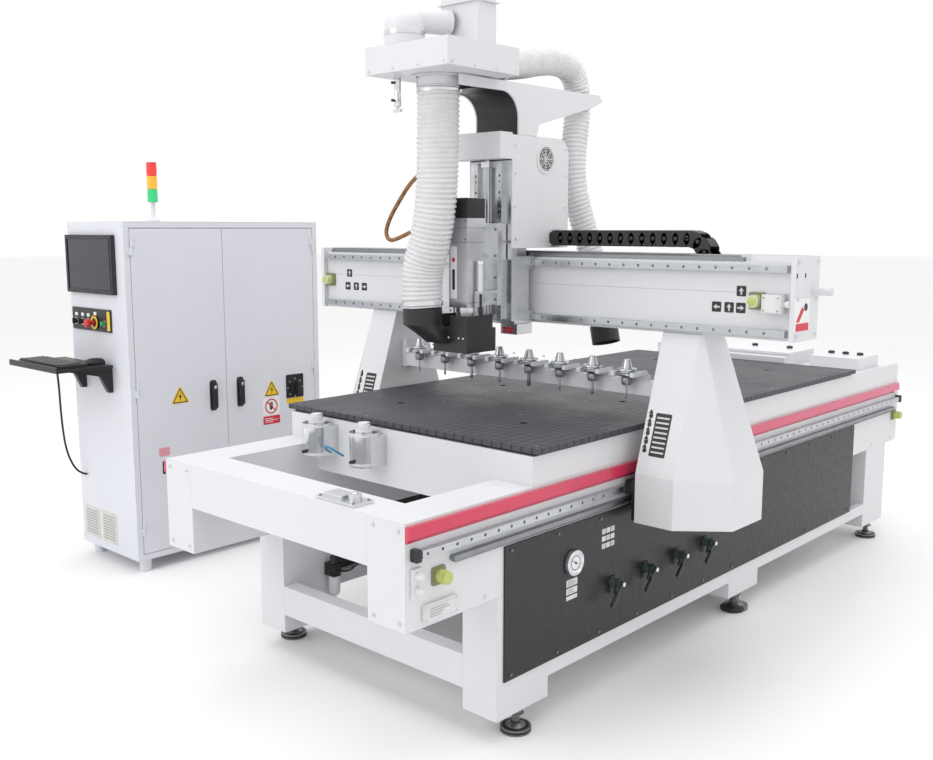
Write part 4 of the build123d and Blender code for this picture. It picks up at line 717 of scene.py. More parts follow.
class RouterStage(bpy.types.Operator):
    """Pale floor, soft studio light and the camera"""

    bl_idname = "router.stage"
    bl_label = "Stage"

    def execute(self, context):
        settings = context.scene.router_stage
        radii = (0.01, 2.0, 6.0, 16.0, 60.0)
        angle = np.linspace(0, 2 * pi, 64, endpoint=False)
        ring = np.stack((np.cos(angle), np.sin(angle), 0 * angle), -1)
        grid = np.array([radius * ring for radius in radii]) - (0, 0, 0.0005)
        mesh = bpy.data.meshes.new("floor")
        points = grid.reshape(-1, 3)
        mesh.from_pydata(points.tolist(), [], grid_faces(len(radii), 64).tolist() + [list(range(64))])
        recipe = Recipe("floor_white", 0.55)
        recipe.shader.inputs["Specular IOR Level"].default_value = 0.2
        cloud = recipe.noise(0.7)
        mesh.materials.append(recipe.done(recipe.mix(cloud, (0.90, 0.90, 0.905), (0.94, 0.94, 0.94))))
        floor = bpy.data.objects.new("floor", mesh)
        context.scene.collection.objects.link(floor)
        world = bpy.data.worlds.new("studio")
        context.scene.world = world
        world.use_nodes = True
        sky = world.node_tree.nodes["Background"]
        sky.inputs["Color"].default_value = (1.0, 1.0, 1.0, 1.0)
        sky.inputs["Strength"].default_value = settings.sky
        self.panel_light(context, "top panel", settings.top_light, 6.5, (0.2, -0.2, 5.6), (0, 0, 0))
        self.panel_light(
            context, "front panel", settings.front_light, 3.5, (-1.5, -6.5, 4.2), (1.05, 0, -0.22)
        )
        data = bpy.data.cameras.new("camera")
        data.lens = settings.lens
        data.sensor_width = 36.0
        data.sensor_fit = "HORIZONTAL"
        camera = bpy.data.objects.new("camera", data)
        camera.location = (3.0797, -3.6949, 1.5975)
        camera.rotation_euler = (radians(81.6), 0.0, radians(42.6))
        context.scene.collection.objects.link(camera)
        context.scene.camera = camera
        context.scene.view_settings.view_transform = "Standard"
        return {"FINISHED"}

    def panel_light(self, context, name, power, size, place, turn):
        """A square soft light."""
        data = bpy.data.lights.new(name, "AREA")
        data.energy = power
        data.size = size
        light = bpy.data.objects.new(name, data)
        light.location = place
        light.rotation_euler = turn
        context.scene.collection.objects.link(light)


class RouterPaint(bpy.types.Operator):
    """Gives every packed node the finish of its slot"""

    bl_idname = "router.paint"
    bl_label = "Finishes of the packed parts"

    def execute(self, context):
        special = {
            "x_rails": "cross_rail_steel",
            "tool_holders": "pale_plastic",
            "levelling_feet": "foot_steel",
            "keyboard_shelf": "black_plastic",
            "positioning_cylinders": "chrome",
        }
        for part in frame["record"]["subparts"]:
            node = frame["nodes"][part["node"]]
            node.data.materials.clear()
            node.data.materials.append(finish(special.get(part["node"], part["material_slot"])))
        return {"FINISHED"}


# ---------------------------------------------------------------- hoses, cables and the energy chain

FRONT_HOSE = (
    (-12, 772, 2088.5), (-14, 772, 1880), (-24, 772, 1690), (-58, 772, 1545), (-104, 772, 1435),
    (-97, 772, 1313),
)
REAR_HOSE = (
    (45, 1020.5, 2182), (43, 1140, 2196), (41, 1262, 2224), (40, 1378, 2238), (40, 1480, 2216),
    (40, 1517, 2126), (42, 1508, 2010), (49, 1478, 1894), (57, 1472, 1778), (71, 1498, 1664),
    (91, 1530, 1550), (119, 1540, 1436), (155, 1526, 1324), (187, 1514, 1214),
)
COOLANT_LINE = (
    (-60.5, 900, 1690), (-104, 900, 1692), (-152, 900, 1736), (-178, 900, 1788), (-232, 900, 1806),
    (-296, 900, 1762), (-352, 900, 1700), (-402, 900, 1640), (-430, 900, 1582), (-404, 900, 1548),
    (-340, 900, 1566), (-262, 900, 1594), (-176, 900, 1593), (-77, 900, 1592),
)


def cabinet_cable_route():
    """The screen cable's route, from under the keyboard shelf into the cabinet's front."""
    shelf_low, shelf_high = node_box("keyboard_shelf")
    front = node_box("cabinet_shell")[0][1]
    x, z = shelf_low[0] + 120, shelf_high[2] - 26
    return (
        (x + 62, front - 150, z - 1), (x + 60, front - 146, z - 52), (x + 38, front - 132, z - 120),
        (x + 12, front - 118, z - 215), (x - 8, front - 104, z - 320), (x - 22, front - 86, z - 425),
        (x - 14, front - 62, z - 505), (x + 4, front - 34, z - 548), (x + 12, front - 4, z - 556),
    )


def air_line_route():
    """The air line's route between the two positioning cylinders."""
    low, high = node_box("positioning_cylinders")
    x, y = (low[0] + high[0]) / 2, node_box("positioning_pins")[0][1] + 22
    return (
        (x - 34, y - 14, 790), (x - 36, y - 40, 806), (x - 14, y - 58, 824),
        (x + 14, y - 58, 822), (x + 34, y - 40, 804), (x + 33, y - 14, 788),
    )


def filter_line_route():
    """The filter's air line, up from its outlet to the beam."""
    x, y = -419, 600
    return (
        (x + 22, y, 286), (x + 66, y + 3, 290), (x + 96, y + 22, 312),
        (x + 108, y + 50, 356), (x + 106, y + 76, 410), (x + 108, y + 100, 462),
    )


def line_length(points):
    """The length of a line through points, in metres."""
    return float(np.linalg.norm(np.diff(points, axis=0), axis=1).sum() / 1000)


class RouterHoses(bpy.types.Operator):
    """Clear ribbed dust hoses with their spring wire and steel clamps"""

    bl_idname = "router.hoses"
    bl_label = "Dust hoses"

    def execute(self, context):
        sizes = context.scene.router_hoses
        path = spline_points(FRONT_HOSE)
        radius = 76.0
        tube = ribbed_tube(path, radius, sizes.depth, sizes.pitch)
        wire = rib_wire(path, radius - 1.6, sizes.pitch, sizes.wire)
        middle = 1600.0
        for shape, name, made in (
            (tube, "front_hose", "hose_plastic"), (wire, "front_hose_wire", "hose_wire")
        ):
            upper, lower = self.cut(shape, middle)
            for part, ending, bodies, start, end in (
                (upper, "upper", ("carriage", "z_head"), 2088.5, middle),
                (lower, "lower", ("z_head", "shroud"), middle, 1313.0),
            ):
                piece = add_piece(f"{name}_{ending}", part, made, None, smooth=60)
                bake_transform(piece)
                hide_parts("front_hose")
        self.clamp("front_hose_top_clamp", path[0] - (0, 0, 14), path[0] - path[3], radius + 1.2, "carriage")
        self.clamp("front_hose_low_clamp", path[-1] + (0, 0, 16), path[-4] - path[-1], radius + 1.2, "shroud")
        path = spline_points(REAR_HOSE)
        radius = 52.0
        tube = ribbed_tube(path, radius, sizes.depth * 0.8, sizes.pitch)
        hose = add_piece("rear_hose_tube", tube, "hose_plastic", "carriage", smooth=60)
        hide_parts("rear_hose")
        wire = rib_wire(path, radius - 1.4, sizes.pitch, sizes.wire)
        spring = add_piece("rear_hose_wire", wire, "hose_wire", "carriage", smooth=60)
        first = self.clamp(
            "rear_hose_clamp", path[0] + (0, 14, 0), path[3] - path[0], radius + 1.0, "carriage"
        )
        line_length(path)
        return {"FINISHED"}

    def cut(self, shape, level):
        """A shape's faces above a level and those below it, as two shapes."""
        points, quads, caps = shape
        parts = []
        for above in (True, False):
            kept = quads[(points[quads][..., 2].mean(1) > level) == above]
            ends = [cap for cap in caps if (points[cap][:, 2].mean() > level) == above]
            used = np.unique(np.concatenate((kept.ravel(), *(np.array(cap) for cap in ends))))
            place = np.zeros(len(points), int)
            place[used] = np.arange(len(used))
            parts.append((points[used], place[kept], [[int(place[c]) for c in cap] for cap in ends]))
        return parts

    def clamp(self, name, centre, axis, radius, body):
        """A worm-drive clamp: a thin steel band with rolled edges, its screw housing and screw."""
        axis = axis / np.linalg.norm(axis)
        side, up = across(axis)
        band = (
            (radius - 1, -6), (radius + 1.4, -6), (radius + 0.9, -4), (radius + 0.9, 4), (radius + 1.4, 6),
            (radius - 1, 6),
        )
        angle = np.linspace(0, 2 * pi, 64, endpoint=False)
        ring = np.cos(angle)[:, None] * side + np.sin(angle)[:, None] * up
        rows = np.array(band)[[0, 1, 2, 3, 4, 5, 0]]
        grid = rows[:, 0, None, None] * ring + rows[:, 1, None, None] * axis + centre
        hoop = (grid.reshape(-1, 3), grid_faces(len(rows), 64), [])
        out = side * 0.55 - up * 0.83
        housing = slab(rounded(14, 12, 3), centre + out * (radius + 1), np.cross(out, axis), axis, 9, 1)
        screw = turned(
            ((3.6, -13), (3.6, 11), (4.6, 11.2), (4.6, 15), (3.4, 16), (0.1, 16)),
            centre + out * (radius + 6), np.cross(out, axis), 12,
        )
        shape = join(hoop, housing, screw)
        return add_piece(name, shape, "chrome", body)


class RouterLines(bpy.types.Operator):
    """The coolant line, the screen cable and the air lines"""

    bl_idname = "router.lines"
    bl_label = "Lines and cables"

    def execute(self, context):
        for name, route, radius, made, body, node, stiffness, lay in (
            ("coolant_hose", COOLANT_LINE, 8.0, "copper_hose", "z_head", "coolant_line", "stiff", "loose"),
            (
                "screen_cable", cabinet_cable_route(), 5.0, "cable_rubber", "frame", "service_lines",
                "medium", "hanging",
            ),
            (
                "cylinder_air_line", air_line_route(), 4.0, "blue_tube", "frame", "service_lines", "medium",
                "loose",
            ),
            (
                "filter_air_line", filter_line_route(), 4.0, "cable_rubber", "frame", "service_lines",
                "medium", "loose",
            ),
        ):
            piece = spline(name, route, radius)
            piece.data.materials.append(finish(made))
            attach(piece, body)
            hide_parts(node)
            length = line_length(spline_points(route))
        return {"FINISHED"}


def chain_link(pitch, height, width):
    """One chain link round its own middle, its length along X and its width along Y: two side plates
    with round ends, pin heads, and a wide cross bar above and below."""
    half = pitch / 2
    plate = rounded(pitch + height * 0.42, height * 0.94, height * 0.45, 6)
    parts = []
    for side, out in ((-1, -1), (1, 1)):
        face = slab(plate, (0, side * (width / 2 - 6), 0), X, Z, 5, 0.8)
        parts.append(face if side < 0 else moved(face, (0, 5.5, 0)))
        parts.append(
            turned(
                ((7.5, 0), (7.5, 1.4), (5.5, 2.0), (0.1, 2.0)), (half, side * (width / 2 - 1.2), 0), Y * out,
                14,
            )
        )
    bar = rounded(pitch * 0.74, 5.0, 2.2, 3)
    for side in (-1, 1):
        parts.append(slab(bar, (0, width / 2 - 7, side * (height / 2 - 2.5)), X, Z, width - 14))
    return join(*parts)


class RouterChain(bpy.types.Operator):
    """The energy chain: links in the tray, round the bend and back to the carriage"""

    bl_idname = "router.chain"
    bl_label = "Energy chain"

    def execute(self, context):
        sizes = context.scene.router_chain
        low, high = node_box("x_energy_chain")
        height = 58.0
        bend = (high[2] - low[2]) / 2
        turn_x = high[0] - bend
        start_x = low[0] + 113 + 60
        y, middle = (low[1] + high[1]) / 2, (low[2] + high[2]) / 2
        mid_radius = bend - height / 2
        link = chain_link(sizes.link_pitch, height, high[1] - low[1])
        lower = [((x, y, low[2] + height / 2), 0.0) for x in self.even(low[0], turn_x, sizes.link_pitch)]
        upper = [((x, y, high[2] - height / 2), 0.0) for x in self.even(start_x, turn_x, sizes.link_pitch)]
        steps = (np.arange(sizes.loop_links) + 0.5) / sizes.loop_links * pi
        loop = [
            ((turn_x + mid_radius * sin(step), y, middle - mid_radius * cos(step)), step) for step in steps
        ]
        far = 1e6
        for name, places, start, end in (
            ("chain_lower_run", lower, low[0], 2 * turn_x - low[0]),
            ("chain_loop", loop, turn_x - far, turn_x + far),
            ("chain_upper_run", upper, 2 * turn_x - start_x, start_x),
        ):
            links = [moved(turned_about(link, (0, 0, 0), -Y, angle), place) for place, angle in places]
            piece = add_piece(name, join(*links), "black_plastic", None)
            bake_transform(piece)
            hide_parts("x_energy_chain")
        return {"FINISHED"}

    def even(self, first, last, pitch):
        """Middles of equal links that fill a run."""
        count = max(1, round((last - first) / pitch))
        return first + (np.arange(count) + 0.5) * (last - first) / count


# ---------------------------------------------------------------- small shared parts


def hoop(centre, axis, inner, outer, height, sides=40):
    """A flat ring with a hole: four circles, outer low, outer high, inner high, inner low, joined round."""
    side, up = across(np.asarray(axis, float))
    angle = np.linspace(0, 2 * pi, sides, endpoint=False)
    ring = np.cos(angle)[:, None] * side + np.sin(angle)[:, None] * up
    rows = np.array(((outer, 0), (outer, height), (inner, height), (inner, 0), (outer, 0)))
    grid = rows[:, 0, None, None] * ring + rows[:, 1, None, None] * axis + np.asarray(centre, float)
    return grid.reshape(-1, 3), grid_faces(len(rows), sides), []


def polygon(*corners):
    """An outline from its corners."""
    return np.array(corners, float)


def sticker(outline, centre, side, up, lift=0.3, thickness=0.5):
    """A thin printed patch, laid just off the face that it sticks to."""
    out = np.cross(np.asarray(side, float), np.asarray(up, float))
    return slab(outline, np.asarray(centre, float) + out * lift, side, up, thickness)


def arrow(size):
    """A three-cornered arrow head on a stem, pointing along the second number."""
    s = size
    return polygon(
        (-0.12 * s, -0.5 * s), (0.12 * s, -0.5 * s), (0.12 * s, 0), (0.36 * s, 0), (0, 0.5 * s),
        (-0.36 * s, 0), (-0.12 * s, 0),
    )


def turn_flat(outline, angle):
    """A flat outline turned about its own middle."""
    c, s = cos(angle), sin(angle)
    return outline @ np.array(((c, s), (-s, c)))


def printed_lines(centre, side, up, width, height, rows, seed, bar=0.35):
    """Rows of short bars of uneven length, standing for small print."""
    lengths = np.random.default_rng(seed).uniform(0.45, 0.95, rows)
    step = height / rows
    parts = []
    for row, share in enumerate(lengths):
        offset = (row + 0.5) * step - height / 2
        outline = rounded(width * share, step * bar, step * bar / 3, 2) - (width * (1 - share) / 2, 0)
        parts.append(
            sticker(outline, np.asarray(centre, float) + np.asarray(up, float) * offset, side, up, 0.9, 0.3)
        )
    return join(*parts)


# ---------------------------------------------------------------- bed

# Places on the bed: y and z on its side, x and y in plan.
FOOT_RADIUS = 50.0
HOUSING_KNOBS = ((-360, 962), (-60, 962), (140, 962), (370, 956), (445, 956), (520, 956))
KNOB_LINE = 3311
TABLE_JOINTS = (614, 1228, 1842)
GAUGE_SPOT = (757.0, 510.0)
GAUGE_LABELS = ((440, 24), (412, 22), (389, 14))
SQUARE_LABEL_SPOT = (962, 548)
SQUARE_LABEL_STEP = 26
FILTER_SPOT = (-419.0, 600.0)
BUFFER_YS = (128.0, 3585.0)
BUFFER_LEVEL = 625.0
KNOB_LEVELS = (604.0, 646.0)


class RouterBed(bpy.types.Operator):
    """Nuts and domes of the feet, screws, rail stops, and the worktop's joints and plugs"""

    bl_idname = "router.bed"
    bl_label = "Bed details"

    def execute(self, context):
        low, high = node_box("levelling_feet")
        ys = (low[1] + FOOT_RADIUS, (low[1] + high[1]) / 2, high[1] - FOOT_RADIUS)
        xs = (low[0] + FOOT_RADIUS, high[0] - FOOT_RADIUS)
        feet = [(x, y, 0) for x in xs for y in ys]
        nut = slab(round_section(21, 6), (0, 0, 62), X, Y, 15, 2)
        washer = disc((0, 0, 59.5), Z, 27, 2.2, 0.6, 32)
        collar = turned(
            ((49, 3), (50.6, 5), (50.6, 13), (46, 17.6), (30, 20), (18, 27), (14, 34), (13, 34)), (0, 0, 0),
            Z, 40,
        )
        thread = [
            turned(((12.2, 34 + 3 * k), (13.4, 35.2 + 3 * k), (12.2, 36.4 + 3 * k)), (0, 0, 0), Z, 20)
            for k in range(8)
        ]
        add_piece(
            "foot_nuts", copies(join(nut, washer, *thread), feet), "foot_steel", "frame",
            bevel=0.6,
        )
        add_piece("foot_domes", copies(collar, feet), "cable_rubber", "frame")
        face = node_box("side_panels")[1][0]
        panel_low, panel_high = node_box("side_panels")
        ys = np.linspace(panel_low[1] + 30, panel_high[1] - 30, 12)
        screws = [
            bolt((side * face, y, z), X * side, 5)
            for side in (-1, 1) for y in ys for z in (panel_low[2] + 18, panel_high[2] - 18)
        ]
        add_piece("panel_screws", join(*screws), "rack_steel", "frame")
        beam_low, beam_high = node_box("side_beams")
        front = [
            bolt((x, beam_low[1] - 0.2, z), -Y, 6)
            for x in (beam_low[0] + 26, beam_low[0] + 130, beam_high[0] - 130, beam_high[0] - 26)
            for z in (beam_low[2] + 24, beam_high[2] - 24)
        ]
        sides = [
            bolt((side * beam_high[0], y, beam_low[2] + 20), X * side, 5.5)
            for side in (-1, 1) for y in np.linspace(330, 3560, 14)
        ]
        add_piece("beam_screws", join(*front, *sides), "chrome", "frame")
        rail_low, rail_high = node_box("y_rails")
        stops = [
            box(
                (min(side * beam_high[0], side * (rail_high[0] + 4)), y, rail_low[2] - 6),
                (max(side * beam_high[0], side * (rail_high[0] + 4)), y + 22, rail_high[2] + 6), 3,
            )
            for side in (-1, 1) for y in (rail_low[1] - 27, rail_high[1] + 4)
        ]
        add_piece("rail_stops", join(*stops), "black_plastic", "frame", bevel=1.5)
        table_low, table_high = node_box("vacuum_table")
        trims = []
        for y in (table_low[1] + joint for joint in TABLE_JOINTS):
            trims.append(
                box(
                    (table_low[0] + 8, y - 1.2, table_high[2] - 0.4),
                    (table_high[0] - 8, y + 1.2, table_high[2] + 0.25), 0.5,
                )
            )
        add_piece("table_joints", join(*trims), "black_ink", "frame")
        plugs = [
            join(disc((x, y, table_high[2] - 1.5), Z, 5.5, 1.7, 0.4, 16))
            for x in np.linspace(table_low[0] + 30, table_high[0] - 30, 4)
            for y in np.linspace(table_low[1] + 30, table_high[1] - 30, 7)
        ]
        add_piece("table_screws", join(*plugs), "rack_steel", "frame")
        knob = turned(((15, 0), (16.5, 3), (16.5, 9), (14, 13), (5, 14.5), (0.2, 14.5)), (0, 0, 0), Z, 20)
        knobs = copies(knob, [(x, KNOB_LINE, z + 2.5) for x, z in HOUSING_KNOBS])
        add_piece("housing_knobs", knobs, "black_plastic", "frame")
        seams = [
            box((-556, 3117.6, 900), (226, 3120.4, 903)),
            box((-556, 3117.6, 952), (226, 3120.4, 955)),
            box((324, 3157.6, 900), (566, 3160.4, 903)),
        ]
        add_piece("housing_flanges", join(*seams), "white_paint", "frame", bevel=0.8)
        return {"FINISHED"}


class RouterFittings(bpy.types.Operator):
    """Gauge, valves, buffers, filter and plates on the side of the bed"""

    bl_idname = "router.fittings"
    bl_label = "Side fittings"

    def execute(self, context):
        face = node_box("side_panels")[1][0]
        beam = node_box("side_beams")[1][0]
        spots = [node_box(f"valve_lever_{number}") for number in range(1, 5)]
        valves = [(high[1] - 12, high[2] - 12) for _, high in spots]
        lever_face = spots[0][0][0]
        gauge = np.array((face, *GAUGE_SPOT))
        case = turned(
            ((40, 0), (44, 2), (44, 14), (42.5, 17.6), (39.5, 18), (38, 14.5), (0.2, 14.4)), gauge, X, 48
        )
        add_piece("gauge_case", case, "chrome", "frame")
        dial = disc(gauge + (14.5, 0, 0), X, 37.6, 0.5, 0.1, 40)
        dial_piece = add_piece("gauge_dial", dial, "white_ink", "frame")
        marks = []
        for index in range(21):
            angle = radians(225 - index * 13.5)
            long = 7.0 if index % 5 == 0 else 4.0
            outline = turn_flat(rounded(long, 1.1, 0.3, 2) + (33.5 - long / 2, 0), angle)
            marks.append(sticker(outline, gauge + (14.9, 0, 0), Y, Z, 0.1, 0.3))
        needle = turn_flat(polygon((-9, -1.6), (26, -0.4), (26, 0.4), (-9, 1.6)), radians(150))
        marks.append(slab(needle, gauge + (16.2, 0, 0), Y, Z, 0.8))
        marks.append(disc(gauge + (15, 0, 0), X, 4, 2.4, 0.6, 16))
        add_piece("gauge_marks", join(*marks), "black_ink", "frame")
        arc = hoop(gauge + (15.05, 0, 0), X, 22, 25.5, 0.35)
        add_piece("gauge_band", arc, "blue_tube", "frame")
        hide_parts("side_fittings")
        bodies, stems, tails = [], [], []
        for y, z in valves:
            centre = np.array((face, y, z))
            bodies.append(slab(round_section(24, 6), centre, Y, Z, 8, 1.2))
            bodies.append(
                turned(
                    (
                        (17, 8), (17, 14), (14.5, 15.5), (14.5, 27), (17, 28.5), (17, 38), (15.5, 40),
                        (0.2, 40),
                    ),
                    centre, X, 28,
                )
            )
            bodies.append(
                turned(
                    ((9, 0), (9, 20), (11.5, 21), (11.5, 30), (8, 31), (0.2, 31)), centre + (20, 0, -10), -Z,
                    20,
                )
            )
            stems.append(
                turned(
                    (
                        (6, 39), (6, lever_face - face + 9.4), (5, lever_face - face + 10.4),
                        (0.2, lever_face - face + 10.4),
                    ),
                    centre, X, 18,
                )
            )
            tails.append(turned(((11.6, 0), (11.6, 5), (9, 6.2), (0.2, 6.2)), centre + (20, 0, -39), -Z, 6))
        valve_piece = add_piece(
            "valve_bodies", join(*bodies), "green_dark", "frame", bevel=0.6
        )
        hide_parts("side_fittings")
        add_piece("valve_stems", join(*stems, *tails), "chrome", "frame")
        for number, (y, z) in enumerate(valves, start=1):
            slant = np.array((0, -cos(pi / 4), -sin(pi / 4)))
            normal = np.cross(X, slant)
            start, end = np.array((lever_face + 4.6, y, z)) + slant * 39, np.array(
                (lever_face + 4.6, y, z)
            ) + slant * 92.6
            path = np.linspace(start, end, 16)
            swell = 1 + 0.13 * np.sin(np.linspace(0, pi, 16)) - 0.5 * np.linspace(0, 1, 16) ** 12
            section = rounded(17.4, 10.4, 4.6, 4)
            rings = path[:, None] + swell[:, None, None] * (
                section[None, :, :1] * normal + section[None, :, 1:] * X
            )
            add_piece(
                f"lever_grip_{number}", closed(rings), "lever_red", f"lever_{number}", smooth=60
            )
            nut = slab(round_section(9, 6), (lever_face + 9.2, y, z), Y, Z, 1.6, 0.3)
            add_piece(f"lever_nut_{number}", nut, "chrome", f"lever_{number}")
        buffers, cups = [], []
        for side in (-1, 1):
            for y in BUFFER_YS:
                centre = np.array((side * beam, y, BUFFER_LEVEL))
                cups.append(slab(rounded(54, 54, 7), centre, Y * side, Z, 7, 1))
                buffers.append(
                    turned(
                        (
                            (19, 7), (20, 10), (20, 30), (18.5, 33), (18.5, 36), (20, 39), (19.5, 43),
                            (15, 45), (0.2, 45),
                        ),
                        centre, X * side, 28,
                    )
                )
        stop = add_piece(
            "bed_buffers", join(*buffers), "buffer_rubber", "frame", smooth=50
        )
        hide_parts("side_fittings")
        add_piece("buffer_plates", join(*cups), "olive_plastic", "frame", bevel=1)
        plate = box((beam, 62, 501), (beam + 12, 198, 553), 2)
        rail = box((beam + 12, 70, 508), (beam + 14, 190, 546), 2)
        sensor = box((beam, 18, 582), (beam + 10, 58, 668), 2)
        posts = [
            turned(((12, 10), (12, 22), (9, 24), (9, 30), (7, 32), (0.2, 32)), (beam, 38, z), X, 24)
            for z in KNOB_LEVELS
        ]
        add_piece(
            "front_plates", join(plate, rail, sensor, *posts), "pale_plastic", "frame",
            bevel=0.8,
        )
        screws = [bolt((beam + 12, y, z), X, 3.5) for y in (66, 194) for z in (507, 547)]
        add_piece("front_plate_screws", join(*screws), "chrome", "frame")
        text = printed_lines((beam + 13.4, 130, 527), Y, Z, 100, 30, 4, 3)
        add_piece("front_plate_print", text, "grey_ink", "frame")
        bowl_x, bowl_y = FILTER_SPOT
        head = box((bowl_x - 40, bowl_y - 20, 262), (bowl_x + 20, bowl_y + 20, 310), 5)
        knob = turned(((16, 310), (16, 338), (14, 342), (0.2, 342)), (bowl_x, bowl_y, 0), Z, 24)
        add_piece("filter_head", join(head, knob), "black_plastic", "frame", bevel=1.2)
        bowl = turned(
            ((19, 262), (22, 258), (22, 200), (17, 188), (7, 184), (6, 183), (0.2, 183)), (bowl_x, bowl_y, 0),
            Z, 28,
        )
        add_piece("filter_bowl", bowl, "hose_wire", "frame", smooth=50)
        steps = (-SQUARE_LABEL_STEP, 0, SQUARE_LABEL_STEP)
        y, z = SQUARE_LABEL_SPOT
        labels = [sticker(rounded(22, 18, 2), (face, y + dy, z + dz), Y, Z) for dy in steps for dz in steps]
        labels += [
            sticker(rounded(60, height, 2), (face, gauge[1], level), Y, Z) for level, height in GAUGE_LABELS
        ]
        add_piece("panel_labels", join(*labels), "pale_plastic", "frame")
        first, last = steps[0], steps[-1]
        printed = ((first, first), (0, 0), (last, last), (first, last), (last, first))
        text = join(
            printed_lines((face + 0.4, gauge[1], GAUGE_LABELS[0][0]), Y, Z, 50, 18, 3, 5),
            printed_lines((face + 0.4, gauge[1], GAUGE_LABELS[1][0]), Y, Z, 50, 16, 2, 6),
            *(
                printed_lines((face + 0.4, y + dy, z + dz), Y, Z, 15, 12, 2, seed)
                for seed, (dy, dz) in enumerate(printed, start=11)
            ),
        )
        add_piece("panel_print", text, "grey_ink", "frame")
        return {"FINISHED"}


class RouterLocators(bpy.types.Operator):
    """End caps, pin bushes and fittings of the positioning cylinders, and the tool setter's details"""

    bl_idname = "router.locators"
    bl_label = "Positioning cylinders"

    def execute(self, context):
        low, high = node_box("positioning_pins")
        y = (low[1] + high[1]) / 2
        spots = ((low[0] + 22, y), (high[0] - 22, y))
        top, bottom = node_box("positioning_cylinders")[1][2], node_box("positioning_cylinders")[0][2]
        caps, bushes, screws, sleeves = [], [], [], []
        for x, spot_y in spots:
            centre = np.array((x, spot_y, 0.0))
            caps.append(hoop(centre + (0, 0, top - 12), Z, 50, 53.2, 8))
            caps.append(hoop(centre + (0, 0, bottom + 6), Z, 50, 53.2, 10))
            bushes.append(hoop(centre + (0, 0, top), Z, 22.6, 31, 7))
            screws += [
                bolt(centre + (41 * cos(a), 41 * sin(a), top), Z, 4.2)
                for a in np.arange(4) * pi / 2 + pi / 4
            ]
            sleeves.append(
                turned(
                    ((7, 0), (7, 6), (5.6, 7), (5.6, 13), (6.4, 14), (6.4, 17), (4, 18), (0.2, 18)),
                    centre + (0, -50.6, 100 + bottom - 78), -Y, 18,
                )
            )
        add_piece("cylinder_bands", join(*caps), "pale_plastic", "frame", bevel=0.6)
        add_piece("pin_bushes", join(*bushes), "pale_plastic", "frame", bevel=0.8)
        add_piece("cylinder_screws", join(*screws), "rack_steel", "frame")
        add_piece("air_fittings", join(*sleeves), "black_plastic", "frame")
        heads = [
            turned(
                ((22.15, 0), (22.5, 1), (22.5, 24), (20.5, 27), (16, 28), (0.2, 28)),
                (x, spot_y, high[2] - 27.6), Z, 36,
            )
            for x, spot_y in spots
        ]
        add_piece("pin_caps", join(*heads), "pale_plastic", "pins")
        low, high = node_box("tool_setter")
        x, y = (low[0] + high[0]) / 2, (low[1] + high[1]) / 2
        screws = [
            bolt((low[0] + dx, low[1] + dy, low[2] + 10.2), Z, 4.5)
            for dx in (10, 160)
            for dy in (10, 70)
        ]
        add_piece("setter_screws", join(*screws), "rack_steel", "frame")
        button = turned(((11, 0), (11, 3), (9, 4.4), (0.2, 5)), (low[0] + 133, y, high[2] - 0.2), Z, 24)
        add_piece("setter_button", button, "chrome", "frame")
        return {"FINISHED"}


# ---------------------------------------------------------------- control cabinet

# Places of the printed signs: y and z on the doors.
WARNING_SPOTS = ((728.4, 814.0), (1258.7, 786.0))
PROHIBITION_SPOT = (1254.0, 690.0)
PINK_LABEL_SPOT = (634, 560)
CORNER_MARK_SPOT = (640, 485)
SCREEN_LEVELS = (1318, 1552)
LENS_HEIGHT = 60
LENSES = ("green_lens", "amber_lens", "red_lens")


